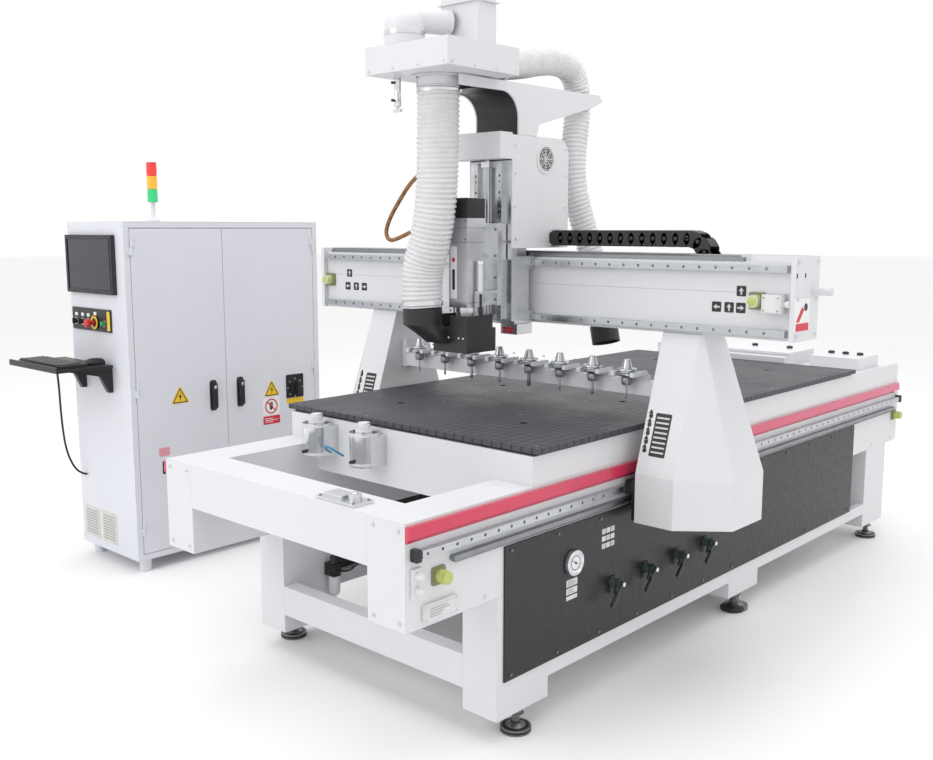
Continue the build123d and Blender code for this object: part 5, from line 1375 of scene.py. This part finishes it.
class RouterCabinet(bpy.types.Operator):
    """Screen, console, keyboard, signs, handles, vents and signal lights of the control cabinet"""

    bl_idname = "router.cabinet"
    bl_label = "Control cabinet"

    def execute(self, context):
        face = node_box("cabinet_door_front")[1][0] - 11.0
        self.front_face()
        self.signs(face)
        self.lights()
        self.vents()
        return {"FINISHED"}

    def front_face(self):
        """The screen, the console's switches and the keyboard."""
        low, high = node_box("operator_panel")
        front = high[1]
        left, right = low[0], high[0]
        glass = slab(rounded(right - left - 40, 230, 3), ((left + right) / 2, front - 18.4, 1435), X, Z, 1.2)
        add_piece("screen_pane", glass, "screen_glass", "frame")
        bar, line = rounded(5, 3, 1.2, 3), front - 22.2
        bottom, top = SCREEN_LEVELS
        upright = [
            carried(bar, polygon((x, line, bottom), (x, line, top)), X)
            for x in (left + 17, right - 17)
        ]
        level = [carried(bar, polygon((left + 17, line, z), (right - 17, line, z)), Z) for z in (top, bottom)]
        rim = upright + level
        add_piece("screen_rim", join(*rim), "black_plastic", "frame")
        stop_low, stop_high = node_box("e_stop_button")
        stop = (stop_low + stop_high) / 2
        start_low, start_high = node_box("start_button")
        start = (start_low + start_high) / 2
        deck = front - 8
        ring = hoop((stop[0], deck - 6.2, stop[2]), -Y, 21, 32, 1.4)
        add_piece("stop_plate", ring, "yellow_ink", "frame")
        cap = turned(
            ((20.2, 0), (20.6, 3), (20.6, 9), (17, 12.5), (8, 14), (0.2, 14.2)),
            (stop[0], stop_low[1] + 13.2, stop[2]), -Y, 36,
        )
        add_piece("stop_cap", cap, "red_plastic", "e_stop", smooth=50)
        bezel = hoop((start[0], deck, start[2]), -Y, 12.3, 15.5, 4)
        add_piece("start_bezel", bezel, "chrome", "frame")
        cap = turned(
            ((11.1, 0), (11.1, 1.4), (9.5, 2.4), (0.2, 2.6)), (start[0], start_low[1] + 0.2, start[2]), -Y, 28
        )
        add_piece("start_cap", cap, "green_plastic", "start")
        knobs, bezels, legends = [], [], []
        for x in (left + 50, left + 110, left + 165):
            centre = np.array((x, deck, start[2]))
            bezels.append(hoop(centre, -Y, 13.4, 17, 3.5))
            knobs.append(slab(rounded(7, 25, 3.2), centre + (0, -14, 0), X, Z, 9, 1.5))
            knobs.append(turned(((13.1, 2), (13.1, 13), (11.8, 14.4), (0.2, 14.4)), centre, -Y, 28))
            legends.append(sticker(rounded(26, 15, 2), (x, deck, start[2] + 32), X, Z))
        legends.append(sticker(rounded(26, 15, 2), (stop[0], deck, start[2] + 42), X, Z))
        add_piece("console_knobs", join(*knobs), "black_plastic", "frame", bevel=0.5)
        add_piece("console_bezels", join(*bezels), "chrome", "frame")
        add_piece("console_legends", join(*legends), "white_ink", "frame")
        strip = sticker(rounded(26, 88, 2), (left + 352, deck, 1176), X, Z)
        add_piece("console_strip", strip, "yellow_ink", "frame")
        low, high = node_box("keyboard_shelf")
        deck = high[2] - 12
        board = box((low[0] + 30, low[1] + 30, deck), (low[0] + 440, low[1] + 168, deck + 14), 8)
        add_piece("keyboard", board, "black_plastic", "frame", bevel=2)
        key = slab(rounded(15, 15, 2, 3), (0, 0, 0), X, Y, 4.5, 1.2)
        rows = [
            (low[0] + 45 + column * 19 + shift, low[1] + 44 + row * 19, deck + 13.5)
            for row, shift in ((0, 0), (1, 4), (2, 7), (3, 3), (4, 0), (5, 0)) for column in range(20)
        ]
        add_piece("keys", copies(key, rows), "key_plastic", "frame")
        outline = rounded(58, 98, 27, 8)
        grid = np.stack(
            [
                np.stack((outline[:, 0] * a, outline[:, 1] * a, np.full(len(outline), z)), -1)
                for a, z in ((0.94, 0), (1.0, 7), (0.95, 16), (0.8, 24), (0.5, 28.5), (0.05, 30))
            ]
        )
        mouse = moved(closed(grid), (low[0] + 385, low[1] + 226, deck))
        add_piece("mouse", mouse, "black_plastic", "frame", smooth=60)

    def signs(self, face):
        """Printed signs with no lettering, the door handles and the main switch's plate."""
        black, white, yellow, red, pink = [], [], [], [], []
        side, up = Y, Z
        for y, z in WARNING_SPOTS:
            yellow.append(
                sticker(
                    polygon((-43, -34), (43, -34), (47, -30), (4, 44), (-4, 44), (-47, -30)), (face, y, z),
                    side, up,
                )
            )
            ring = polygon((-37, -29), (37, -29), (0, 35))
            for first, second in ((0, 1), (1, 2), (2, 0)):
                ends = np.array(
                    ((0.0, *(ring[first] * 1.02)), (0.0, *(ring[second] * 1.02)))
                ) + (face + 1.1, y, z)
                black.append(carried(rounded(0.4, 4.5, 0.15, 2), ends, X))
            bolt_mark = polygon((6, 22), (-9, -3), (0, -3), (-5, -23), (10, 3), (1, 3))
            black.append(sticker(bolt_mark, (face, y, z - 2), side, up, 0.85, 0.3))
        y, z = PROHIBITION_SPOT
        white.append(sticker(rounded(104, 92, 5), (face, y, z + 8), side, up))
        red.append(hoop((face + 0.9, y, z + 9), X, 32, 39, 0.4))
        slash = turn_flat(rounded(66, 6.5, 2, 2), radians(-42))
        red.append(sticker(slash, (face, y, z + 9), side, up, 0.9, 0.35))
        fingers = [
            sticker(rounded(4, 22, 1.8, 3), (face, y - 9 + 5.4 * k, z + 19 + rise), side, up, 0.75, 0.3)
            for k, rise in enumerate((0, 1.5, 1.5, 0))
        ]
        palm = sticker(rounded(17, 24, 6), (face, y - 2, z + 3), side, up, 0.75, 0.3)
        hand = join(palm, *fingers)
        black.append(hand)
        red.append(sticker(rounded(104, 42, 3), (face, y, z - 62), side, up))
        white.append(printed_lines((face + 0.2, y, z - 62), side, up, 84, 26, 3, 8))
        pink.append(sticker(rounded(56, 40, 3), (face, *PINK_LABEL_SPOT), side, up))
        pink.append(printed_lines((face + 0.2, *PINK_LABEL_SPOT), side, up, 44, 24, 3, 9))
        black.append(
            sticker(
                polygon((-20, -30), (26, -30), (26, -21), (-11, -21), (-11, 30), (-20, 30)),
                (face, *CORNER_MARK_SPOT), side, up,
            )
        )
        low, high = node_box("main_switch_knob")
        middle = (low + high) / 2
        plate = slab(rounded(112, 122, 6), (face, middle[1], middle[2] + 8), side, up, 3.0, 0.8)
        add_piece("switch_plate", plate, "black_plastic", "door_rear")
        yellow_strip = sticker(rounded(108, 26, 3), (face, middle[1], middle[2] - 68), side, up)
        marks = [
            sticker(
                turn_flat(rounded(10, 3, 1, 2) + (46, 0), a), (face + 3.2, middle[1], middle[2]), side, up,
                0.1, 0.3,
            )
            for a in np.arange(8) * pi / 4
        ]
        for name, shapes, made in (
            ("sign_black", black, "black_ink"), ("sign_white", white, "white_ink"),
            ("sign_yellow", yellow, "yellow_ink"),
            ("sign_red", red, "red_ink"), ("sign_pink", pink, "pink_ink"),
        ):
            points = join(*shapes)
            for body, front in (("door_front", True), ("door_rear", False)):
                part = self.half(points, front)
                if len(part[1]):
                    add_piece(f"{name}_{body}", part, made, body)
        add_piece("switch_strip", yellow_strip, "yellow_ink", "door_rear")
        add_piece("switch_marks", join(*marks), "white_ink", "door_rear")
        knob = join(
            turned(
                ((33.5, 0), (34.6, 2), (34.6, 13), (30, 18.4), (0.2, 18.6)), (low[0], middle[1], middle[2]),
                X, 40,
            ),
            slab(rounded(19, 66, 7), (low[0] + 18, middle[1], middle[2]), side, up, 22.6, 3),
        )
        add_piece("switch_grip", knob, "black_plastic", "main_switch", bevel=0.8)
        for word in ("front", "rear"):
            low, high = node_box(f"door_handle_{word}")
            middle = (low + high) / 2
            plate = slab(rounded(40, 150, 12), (face, middle[1], middle[2]), side, up, 0.45)
            add_piece(f"handle_plate_{word}", plate, "key_plastic", f"door_{word}")
            path = np.array(
                [
                    (high[0] - 12 + 6.5 * sin(t), middle[1], high[2] - 4 - (high[2] - low[2] - 8) * t / pi)
                    for t in np.linspace(0, pi, 18)
                ]
            )
            bar = carried(rounded(22, 11, 4.5, 4), path, Y)
            add_piece(
                f"handle_bar_{word}", bar, "black_plastic", f"handle_{word}", smooth=50
            )
            lock = join(
                turned(
                    ((8.5, 0), (8.5, 1.6), (7.2, 2.6), (0.2, 2.8)), (high[0] + 0.2, middle[1], high[2] - 18),
                    X, 24,
                ),
                slab(rounded(1.4, 7, 0.5, 2), (high[0] + 2.9, middle[1], high[2] - 18), side, up, 0.3),
            )
            add_piece(f"handle_lock_{word}", lock, "chrome", f"handle_{word}")

    def half(self, shape, front):
        """The part of a shape that lies on the front or on the rear door."""
        split = (node_box("cabinet_door_front")[1][1] + node_box("cabinet_door_rear")[0][1]) / 2
        points, quads, caps = shape
        kept = quads[(points[quads][..., 1].mean(1) < split) == front]
        ends = [cap for cap in caps if (points[cap][:, 1].mean() < split) == front]
        if not len(kept):
            return points[:0], kept, []
        used = np.unique(np.concatenate((kept.ravel(), *(np.array(cap) for cap in ends))))
        place = np.zeros(len(points), int)
        place[used] = np.arange(len(used))
        return points[used], place[kept], [[int(place[c]) for c in cap] for cap in ends]

    def lights(self):
        """The signal lights: foot, tube, three ribbed lenses and a cap."""
        low, high = node_box("stack_light")
        x, y = (low[0] + high[0]) / 2, (low[1] + high[1]) / 2
        foot = turned(
            ((30, 0), (30, 8), (27, 12), (13, 14), (11, 20), (10, 22), (10, 88), (23, 90), (0.2, 90.4)),
            (x, y, low[2]), Z, 32,
        )
        pole = add_piece("stack_pole", foot, "pale_plastic", "frame")
        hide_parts("stack_light")
        for index, made in enumerate(LENSES):
            start = high[2] - 8 + (index - len(LENSES)) * LENS_HEIGHT
            waves = [(24 - 0.9 * (k % 2), start + 3 + k * 54 / 18) for k in range(19)]
            rows = ((21, start), *waves, (21, start + LENS_HEIGHT - 1), (0.2, start + LENS_HEIGHT - 1))
            add_piece(
                f"stack_{made}", turned(rows, (x, y, 0), Z, 36), made, "frame", smooth=60
            )
        cap = turned(((22, 0), (24, 1), (24, 4), (20, 7.6), (0.2, 8)), (x, y, high[2] - 8.2), Z, 32)
        add_piece("stack_cap", cap, "pale_plastic", "frame")

    def vents(self):
        """Slotted vents low on the cabinet's front, their slots grey patches of painted shade, its top edge's
        trim and its screws.
        """
        low, high = node_box("cabinet_shell")
        plates, slot_shades = [], []
        for x in (-2100.0, -1935.0):
            plates.append(slab(rounded(140, 150, 5), (x, 475, 175), X, Z, 2.4, 0.6))
            for row in range(9):
                # painted shade: each slot is a grey patch laid on the plate
                slot_shades.append(slab(rounded(112, 6.5, 3, 3), (x, 472.7, 119 + row * 14), X, Z, 0.5))
        add_piece("vent_plates", join(*plates), "vent_plastic", "frame", bevel=0.5)
        add_piece("vent_slot_shade", join(*slot_shades), "grey_ink", "frame")
        edge = box((high[0] - 13, low[1] + 3, high[2] - 1.2), (high[0] - 10, high[1] - 3, high[2] + 0.6), 0.5)
        screws = [bolt((x, low[1], z), -Y, 4) for x in (low[0] + 14, high[0] - 26) for z in (90, 700, 1610)]
        add_piece("cabinet_screws", join(edge, *screws), "pale_plastic", "frame")


# ---------------------------------------------------------------- gantry

# Arrow marks on the beam's front: x, z and the turn from pointing up.
ARROWS = (
    (954, 1397, 0), (866, 1342, pi / 2), (912, 1342, 0), (954, 1342, -pi / 2),
    (-980, 1400, 0), (-992, 1342, pi / 2), (-936, 1342, 0), (-882, 1342, -pi / 2),
)
LEG_LABEL_LEVEL = 905
X_BUFFERS = (-1105.0, 1012.0)
X_BUFFER_LEVEL = 1368
SENSOR_SPOT = (1078.5, 1362)
END_PLATE_LINE = 1218.0


class RouterGantry(bpy.types.Operator):
    """Arrow marks, leg marks, buffers, sensor, end plate and screws of the gantry"""

    bl_idname = "router.gantry"
    bl_label = "Gantry details"

    def execute(self, context):
        low, high = node_box("gantry_beam")
        front = low[1]
        black, white = [], []
        for x, z, turn in ARROWS:
            black.append(sticker(rounded(34, 34, 4), (x, front, z), X, Z))
            white.append(sticker(turn_flat(arrow(24), turn), (x, front, z), X, Z, 0.85, 0.3))
        for side in (-1, 1):
            centre, up = self.leg_front(side, LEG_LABEL_LEVEL)
            label = sticker(rounded(62, 150, 4), centre - X * side * 6, X, up, 0.5)
            black.append(label)
            for row in range(8):
                white.append(
                    sticker(
                        rounded(50, 6, 1.5, 2), centre - X * side * 6 + up * (row * 17 - 60), X, up, 1.15, 0.3
                    )
                )
            for row in range(5):
                spot = centre + X * (-56) + up * (row * 30 - 58)
                black.append(sticker(rounded(15, 15, 5, 3), spot, X, up, 0.5))
                black.append(
                    sticker(polygon((-9, -7), (9, -7), (0, 9)), spot - X * 2 + up * 15, X, up, 0.5, 0.3)
                )
        add_piece("gantry_marks_black", join(*black), "black_ink", "gantry")
        add_piece("gantry_marks_white", join(*white), "grey_light", "gantry")
        cover = high[0] + 18
        plate = slab(rounded(104, 104, 4), (cover, END_PLATE_LINE, 1328), Y, Z, 2.2, 0.6)
        add_piece("end_plate", plate, "white_ink", "gantry")
        red = [
            sticker(rounded(90, 24, 2), (cover + 2.2, END_PLATE_LINE, 1290), Y, Z),
            sticker(
                polygon((-36, -22), (-16, -24), (18, 14), (2, 24)), (cover + 2.2, END_PLATE_LINE - 8, 1330),
                Y, Z,
            ),
        ]
        add_piece("end_plate_red", join(*red), "red_ink", "gantry")
        dark = [
            sticker(rounded(24, 24, 11, 6), (cover + 2.2, END_PLATE_LINE + 22, 1352), Y, Z),
            sticker(rounded(8, 15, 2, 2), (cover, 1172, 1452), Y, Z),
            sticker(rounded(8, 15, 2, 2), (cover, 1232, 1452), Y, Z),
        ]
        add_piece("end_plate_dark", join(*dark), "black_ink", "gantry")
        screws = [
            bolt((side * cover, y, z), X * side, 5.5)
            for side in (-1, 1)
            for y in (1180, 1318)
            for z in (1262, 1378, 1494)
        ]
        add_piece("end_cover_screws", join(*screws), "chrome", "gantry")
        pads = []
        for x in X_BUFFERS:
            pads.append(slab(rounded(56, 56, 6), (x, front - 0.2, X_BUFFER_LEVEL), X, Z, 8, 1))
        add_piece("x_buffer_plates", join(*pads), "olive_plastic", "gantry", bevel=0.8)
        tips = [
            turned(
                (
                    (20.3, 8), (20.6, 12), (20.6, 24), (19, 27), (19, 30), (20.8, 33), (20, 38), (16, 40.8),
                    (0.2, 40.8),
                ),
                (x, front, X_BUFFER_LEVEL), -Y, 28,
            )
            for x in X_BUFFERS
        ]
        add_piece("x_buffers", join(*tips), "buffer_rubber", "gantry", smooth=50)
        box_front = front - 40
        lid = slab(rounded(61, 54, 5), (SENSOR_SPOT[0], box_front, SENSOR_SPOT[1]), X, Z, 4, 1)
        gland = turned(
            ((9, 0), (9, 8), (12, 9), (12, 18), (8, 20), (0.2, 20)),
            (SENSOR_SPOT[0] + 33.5, box_front + 20, SENSOR_SPOT[1]), X, 20,
        )
        add_piece("sensor_lid", join(lid, gland), "pale_plastic", "gantry", bevel=0.6)
        screws = [
            bolt((SENSOR_SPOT[0] + dx, box_front - 4, SENSOR_SPOT[1] + dz), -Y, 2.6)
            for dx in (-24, 24)
            for dz in (-20, 20)
        ]
        add_piece("sensor_screws", join(*screws), "rack_steel", "gantry")
        screws = [bolt((x, front + 46, high[2] + 0.1), Z, 4.4) for x in np.arange(-1080, 940, 90.0)]
        add_piece("beam_top_screws", join(*screws), "rack_steel", "gantry")
        return {"FINISHED"}

    def leg_front(self, side, level):
        """A point on a leg's sloping front face at a level, and the face's upward direction."""
        low, high = node_box("gantry_legs")
        foot, head = np.array((0, low[1], 770.0)), np.array((0, 1184.0, high[2]))
        share = (level - foot[2]) / (head[2] - foot[2])
        up = (head - foot) / np.linalg.norm(head - foot)
        return foot + (head - foot) * share + X * side * 742, up


class RouterToolRack(bpy.types.Operator):
    """Tool holders with their nuts and cutters, and the rack's pads and screws"""

    bl_idname = "router.tools"
    bl_label = "Tool rack"

    def execute(self, context):
        low, high = node_box("tool_holders")
        rack_low, rack_high = node_box("tool_rack")
        y = (low[1] + high[1]) / 2
        radius = (high[1] - low[1]) / 2
        xs = np.linspace(low[0] + radius, high[0] - radius, 8)
        holders, cutters, nuts = [], [], []
        bottom, top = low[2], high[2]
        neck = radius - 6
        cone = (
            (20, top - 60), (23, top - 57), (radius - 1, top - 56), (radius, top - 53), (radius, top - 49),
            (neck, top - 46), (neck, top - 42), (radius, top - 39), (radius, top - 34),
            (radius - 1, top - 32),
            (20, top - 31), (12.5, top - 3), (11, top), (0.2, top),
        )
        for index, x in enumerate(xs):
            at = (x, y, 0)
            holders.append(turned(cone, at, Z, 32))
            nuts.append(
                turned(
                    (
                        (13, top - 92), (17, top - 90), (18.5, top - 84), (18.5, top - 66), (16, top - 62),
                        (14, top - 60), (0.2, top - 60),
                    ),
                    at, Z, 12,
                )
            )
            width = (3.0, 4.0, 6.0, 5.0, 8.0, 4.0, 6.0, 3.0)[index]
            cutters.append(
                turned(
                    (
                        (0.2, bottom), (width * 0.8, bottom + 1), (width, bottom + 4), (width, bottom + 28),
                        (width * 0.8, bottom + 30), (width * 0.8, top - 90), (0.2, top - 90),
                    ),
                    at, Z, 14,
                )
            )
        whole = add_piece("tool_cones", join(*holders), "rail_steel", "gantry")
        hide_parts("tool_holders")
        add_piece("tool_nuts", join(*nuts), "rack_steel", "gantry")
        add_piece("cutters", join(*cutters), "rack_steel", "gantry")
        screws, pads = [], []
        for x in xs:
            for side in (-1, 1):
                centre = x + side * (radius + 10)
                screws.append(bolt((centre, y + 34, rack_high[2] - 10), Z, 4.4))
                screws.append(bolt((x + side * 40, rack_low[1] + 70, 1076), Z, 4))
            pads.append(box((x - 46, y + 32, 1076), (x + 46, y + 74, 1083), 4))
        add_piece("fork_pads", join(*pads), "pale_plastic", "gantry", bevel=0.8)
        add_piece("rack_screws", join(*screws), "rack_steel", "gantry")
        return {"FINISHED"}


# ---------------------------------------------------------------- head

# Levels of the hood, and places in plan of what sits on it.
HOOD_LOW, HOOD_TOP = 2125.0, 2217.0
ELBOW_SPOT = (-110, 705)
DUCT_LINE = 914
AIR_CYLINDER_SPOT = (-122, 680)
SHROUD_FRONT = 815.0
COOLANT_SPOTS = ((-60.3, 900, 1690), (-77, 900, 1592))


class RouterHead(bpy.types.Operator):
    """Spindle, guides, shroud, column and hood details"""

    bl_idname = "router.head"
    bl_label = "Head details"

    def execute(self, context):
        self.spindle()
        self.shroud()
        self.column()
        self.hood()
        return {"FINISHED"}

    def spindle(self):
        """Label strips, the black motor box, cap screws and the fitting of the coolant line."""
        low, high = node_box("spindle")
        front = low[1]
        strip = sticker(rounded(30, 190, 3), (-22, front, 1440), X, Z, 0.2, 1.2)
        add_piece("spindle_strip", strip, "white_ink", "z_head")
        dot = sticker(rounded(16, 16, 7.6, 6), (-22, front - 1.2, 1486), X, Z, 0.2, 0.5)
        add_piece("spindle_dot", dot, "red_ink", "z_head")
        dark = join(
            sticker(rounded(13, 74, 2), (-22, front - 1.2, 1414), X, Z, 0.2, 0.5),
            printed_lines((-22, front - 2.2, 1414), X, Z, 9, 66, 9, 4),
        )
        add_piece("spindle_label", dark, "black_ink", "z_head")
        cap = box((low[0] + 30 - 4, front - 3, 1636), (high[0] + 3, high[1] - 1, 1707), 6)
        add_piece("spindle_cap", cap, "black_paint", "z_head", bevel=2)
        side_box = box((low[0] - 0.6, front + 8, 1556), (-46.4, 950, 1634), 4)
        add_piece("spindle_box", side_box, "black_plastic", "z_head", bevel=1.5)
        fins = [box((-46.5, y, 1340), (46.5, y + 2.2, 1540), 0.8) for y in (868, 884, 900, 916, 932)]
        add_piece("spindle_fins", join(*fins), "machined_aluminium", "z_head")
        seams = [box((-46.6, front - 0.8, z), (46.6, high[1] + 0.2, z + 2.0), 2) for z in (1330, 1548, 1600)]
        screws = [bolt((x, front, z), -Y, 3.6) for x in (-36, 36) for z in (1322, 1560, 1624)]
        add_piece("spindle_seams", join(*seams), "rack_steel", "z_head")
        add_piece("spindle_screws", join(*screws), "rack_steel", "z_head")
        screws = [bolt((x, 983, z), -Y, 5) for x in (-72, 72) for z in (1340, 1420, 1500, 1596)]
        add_piece("slide_screws", join(*screws), "rack_steel", "z_head")
        nut = turned(((9.5, 0), (11, 1), (11, 8), (9.5, 9), (8.2, 12), (0.2, 12)), COOLANT_SPOTS[0], -X, 6)
        cuff = turned(((8.7, 10), (8.9, 30), (8.1, 32), (0.2, 32)), COOLANT_SPOTS[0], -X, 24)
        add_piece("coolant_nut", join(nut, cuff), "chrome", "z_head")
        nut = turned(((9.5, 0), (11, 1), (11, 8), (9.5, 9), (8.2, 12), (0.2, 12)), COOLANT_SPOTS[1], -X, 6)
        add_piece("coolant_nut_low", nut, "chrome", "z_head")
        nose_low = node_box("spindle_nose")[0]
        nut = turned(
            ((19, 0), (24, 2), (25.4, 6), (25.4, 22), (22, 26), (0.2, 26)), (0, 905, nose_low[2] + 26), Z, 12
        )
        add_piece("collet_nut", nut, "rack_steel", "collet")

    def shroud(self):
        """Screws, the brush curtain, and the guide cylinders' heads."""
        low, high = node_box("dust_shroud")
        front = SHROUD_FRONT
        screws = [
            turned(((3.6, 0), (3.6, 1.5), (2.4, 2.6), (0.2, 2.8)), (x, front, 1206), -Y, 14)
            for x in (-54, -6, 44, 66)
        ]
        add_piece("shroud_screws", join(*screws), "white_ink", "shroud")
        tuft = turned(((1.1, 0), (1.3, -6), (1.6, -12), (0.2, -12.4)), (0, 0, 0), Z, 5)
        rows = [(x, y, low[2] + 13) for x in np.arange(-76, 77, 4.0) for y in (front + 8, high[1] - 8)]
        rows += [(x, y, low[2] + 13) for y in np.arange(front + 10, high[1] - 8, 4.0) for x in (-77, 77)]
        add_piece("shroud_brush", copies(tuft, rows), "cable_rubber", "shroud")
        caps = []
        for x in (-65.0, 65.0):
            caps.append(
                turned(
                    ((13.6, 0), (14.2, 1), (14.2, 10), (12, 12), (6, 12.4), (0.2, 12.4)), (x, 910, 1385 + 86),
                    Z, 24,
                )
            )
        add_piece("guide_caps", join(*caps), "chrome", "z_head")

    def column(self):
        """Screws of the column's plates and rails, the fan's guard, the rear lid and the red marks."""
        high = node_box("column_housing")[1]
        plate = 105.0
        fan = (node_box("fan_rotor")[0] + node_box("fan_rotor")[1]) / 2
        rings = [hoop((plate, fan[1], fan[2]), X, r, r + 2.4, 2.4, 48) for r in (10, 20, 30, 39)]
        rim = hoop((plate, fan[1], fan[2]), X, 44.5, 56, 3.0, 48)
        bars = []
        for angle in np.arange(4) * pi / 4:
            ends = np.array(((0, -44, 0), (0, 44, 0)), float)
            turned_ends = np.array(
                [(0, p[1] * cos(angle), p[1] * sin(angle)) for p in ends]
            ) + (plate + 1.2, fan[1], fan[2])
            bars.append(carried(round_section(1.3, 8), turned_ends, X))
        add_piece("fan_guard", join(*rings, rim, *bars), "pale_plastic", "carriage")
        screws = [bolt((plate, y, z), X, 5) for y in (1054, 1356) for z in (1560, 1680, 1800, 1900)]
        screws += [bolt((-plate, y, z), -X, 5) for y in (1054, 1356) for z in (1560, 1680, 1800, 1900)]
        screws += [
            bolt((plate, fan[1] + 49 * cos(a), fan[2] + 49 * sin(a)), X, 3.2)
            for a in np.arange(4) * pi / 2 + pi / 4
        ]
        add_piece("column_screws", join(*screws), "chrome", "carriage")
        rear = [sticker(rounded(180, 330, 10), (0, high[1], 1700), -X, Z, 0.2, 2.2)]
        add_piece("column_rear_lid", join(*rear), "white_sheet", "carriage", bevel=0.8)
        screws = [bolt((x, high[1] + 2.4, z), Y, 4) for x in (-80, 80) for z in (1550, 1700, 1850)]
        add_piece("column_rear_screws", join(*screws), "chrome", "carriage")
        red = join(
            sticker(rounded(52, 9, 1.5, 2), (60, 1070, 1226), X, Z),
            sticker(rounded(52, 9, 1.5, 2), (60, 1070, 1214), X, Z),
        )
        add_piece("carriage_red_marks", red, "red_ink", "carriage")
        screws = [bolt((x, 1020.2, z), -Y, 3.2) for x in (-58, 58) for z in np.arange(1290, 1830, 60.0)]
        add_piece("z_rail_screws", join(*screws), "rack_steel", "carriage")

    def hood(self):
        """Flanges, screws, the square duct's joint, the elbow's clamp and the air cylinder's fittings."""
        flange = hoop((*ELBOW_SPOT, HOOD_TOP), Z, 70.5, 84, 3, 48)
        clamp = hoop((*ELBOW_SPOT, HOOD_TOP + 45), Z, 70.2, 72.6, 14, 48)
        add_piece("elbow_flange", flange, "white_sheet", "carriage", bevel=0.6)
        add_piece("elbow_clamp", clamp, "chrome", "carriage")
        screws = [
            bolt((ELBOW_SPOT[0] + 77.5 * cos(a), ELBOW_SPOT[1] + 77.5 * sin(a), HOOD_TOP + 3), Z, 3.2)
            for a in np.arange(8) * pi / 4
        ]
        screws += [bolt((x, 600, z), -Y, 3.6) for x in (-180, -60, 60, 180) for z in (2137,)]
        screws += [bolt((198, y, 2137), X, 3.6) for y in (620, 730, 840, 940)]
        screws += [bolt((-198, y, 2137), -X, 3.6) for y in (620, 730, 840, 940)]
        add_piece("hood_screws", join(*screws), "chrome", "carriage")
        joint = []
        for z in (HOOD_TOP + 1.0, 2380.0):
            grid = np.stack([
                np.stack((o[:, 0], o[:, 1] + DUCT_LINE, np.full(len(o), z + h)), -1)
                for o,
                h in (
                    (rounded(181, 93, 2), 0), (rounded(200, 112, 4), 0), (rounded(200, 112, 4), 5),
                    (rounded(181, 93, 2), 5), (rounded(181, 93, 2), 0),
                )
            ])
            joint.append((grid.reshape(-1, 3), grid_faces(5, grid.shape[1]), []))
        add_piece("duct_joints", join(*joint), "white_sheet", "carriage", bevel=0.6)
        ring = hoop((-12, 772, HOOD_LOW - 5), Z, 78, 96, 4, 48)
        add_piece("hose_flange", ring, "white_sheet", "carriage")
        body = turned(
            (
                (12.2, 0), (13.4, 2), (13.4, 14), (12.3, 16), (12.3, 78), (13.4, 80), (13.4, 92), (11, 96),
                (0.2, 96),
            ),
            (*AIR_CYLINDER_SPOT, HOOD_LOW - 100), Z, 24,
        )
        add_piece("air_cylinder", body, "chrome", "carriage")
        knots = [
            turned(
                ((4, 0), (4, 8), (5, 9), (5, 15), (3, 16), (0.2, 16)),
                (AIR_CYLINDER_SPOT[0], AIR_CYLINDER_SPOT[1] - 12, HOOD_LOW - z), -Y, 14,
            )
            for z in (24, 84)
        ]
        add_piece("air_cylinder_ports", join(*knots), "black_plastic", "carriage")


# ---------------------------------------------------------------- panel, registration and the run


OPERATORS = (
    RouterStage, RouterPaint, RouterHoses, RouterLines, RouterChain, RouterBed, RouterFittings,
    RouterLocators, RouterCabinet, RouterGantry, RouterToolRack, RouterHead,
)
SETTINGS = {
    "router_paint": PaintSettings,
    "router_bed": BedSettings,
    "router_hoses": HoseSettings,
    "router_chain": ChainSettings,
    "router_stage": StageSettings,
}


class RouterPanel(bpy.types.Panel):
    """Lists the router's settings and its pieces"""

    bl_idname = "VIEW3D_PT_router"
    bl_label = "CNC router"
    bl_space_type = "VIEW_3D"
    bl_region_type = "UI"
    bl_category = "Router"

    def draw(self, context):
        for key, group in SETTINGS.items():
            section = self.layout.box()
            section.label(text=group.__doc__)
            for field in group.__annotations__:
                section.prop(getattr(context.scene, key), field)
        for operator in OPERATORS:
            self.layout.operator(operator.bl_idname)


CLASSES = (*SETTINGS.values(), *OPERATORS, RouterPanel)


def register():
    """Adds the classes and the scene's settings."""
    for one in CLASSES:
        bpy.utils.register_class(one)
    for key, group in SETTINGS.items():
        setattr(bpy.types.Scene, key, PointerProperty(type=group))


def unregister():
    """Takes away the settings and the classes."""
    for key in SETTINGS:
        delattr(bpy.types.Scene, key)
    for one in reversed(CLASSES):
        bpy.utils.unregister_class(one)


def main():
    """Builds everything in order."""
    register()
    for operator in OPERATORS:
        group, name = operator.bl_idname.split(".")
        getattr(getattr(bpy.ops, group), name)()


if __name__ == "__main__":
    main()
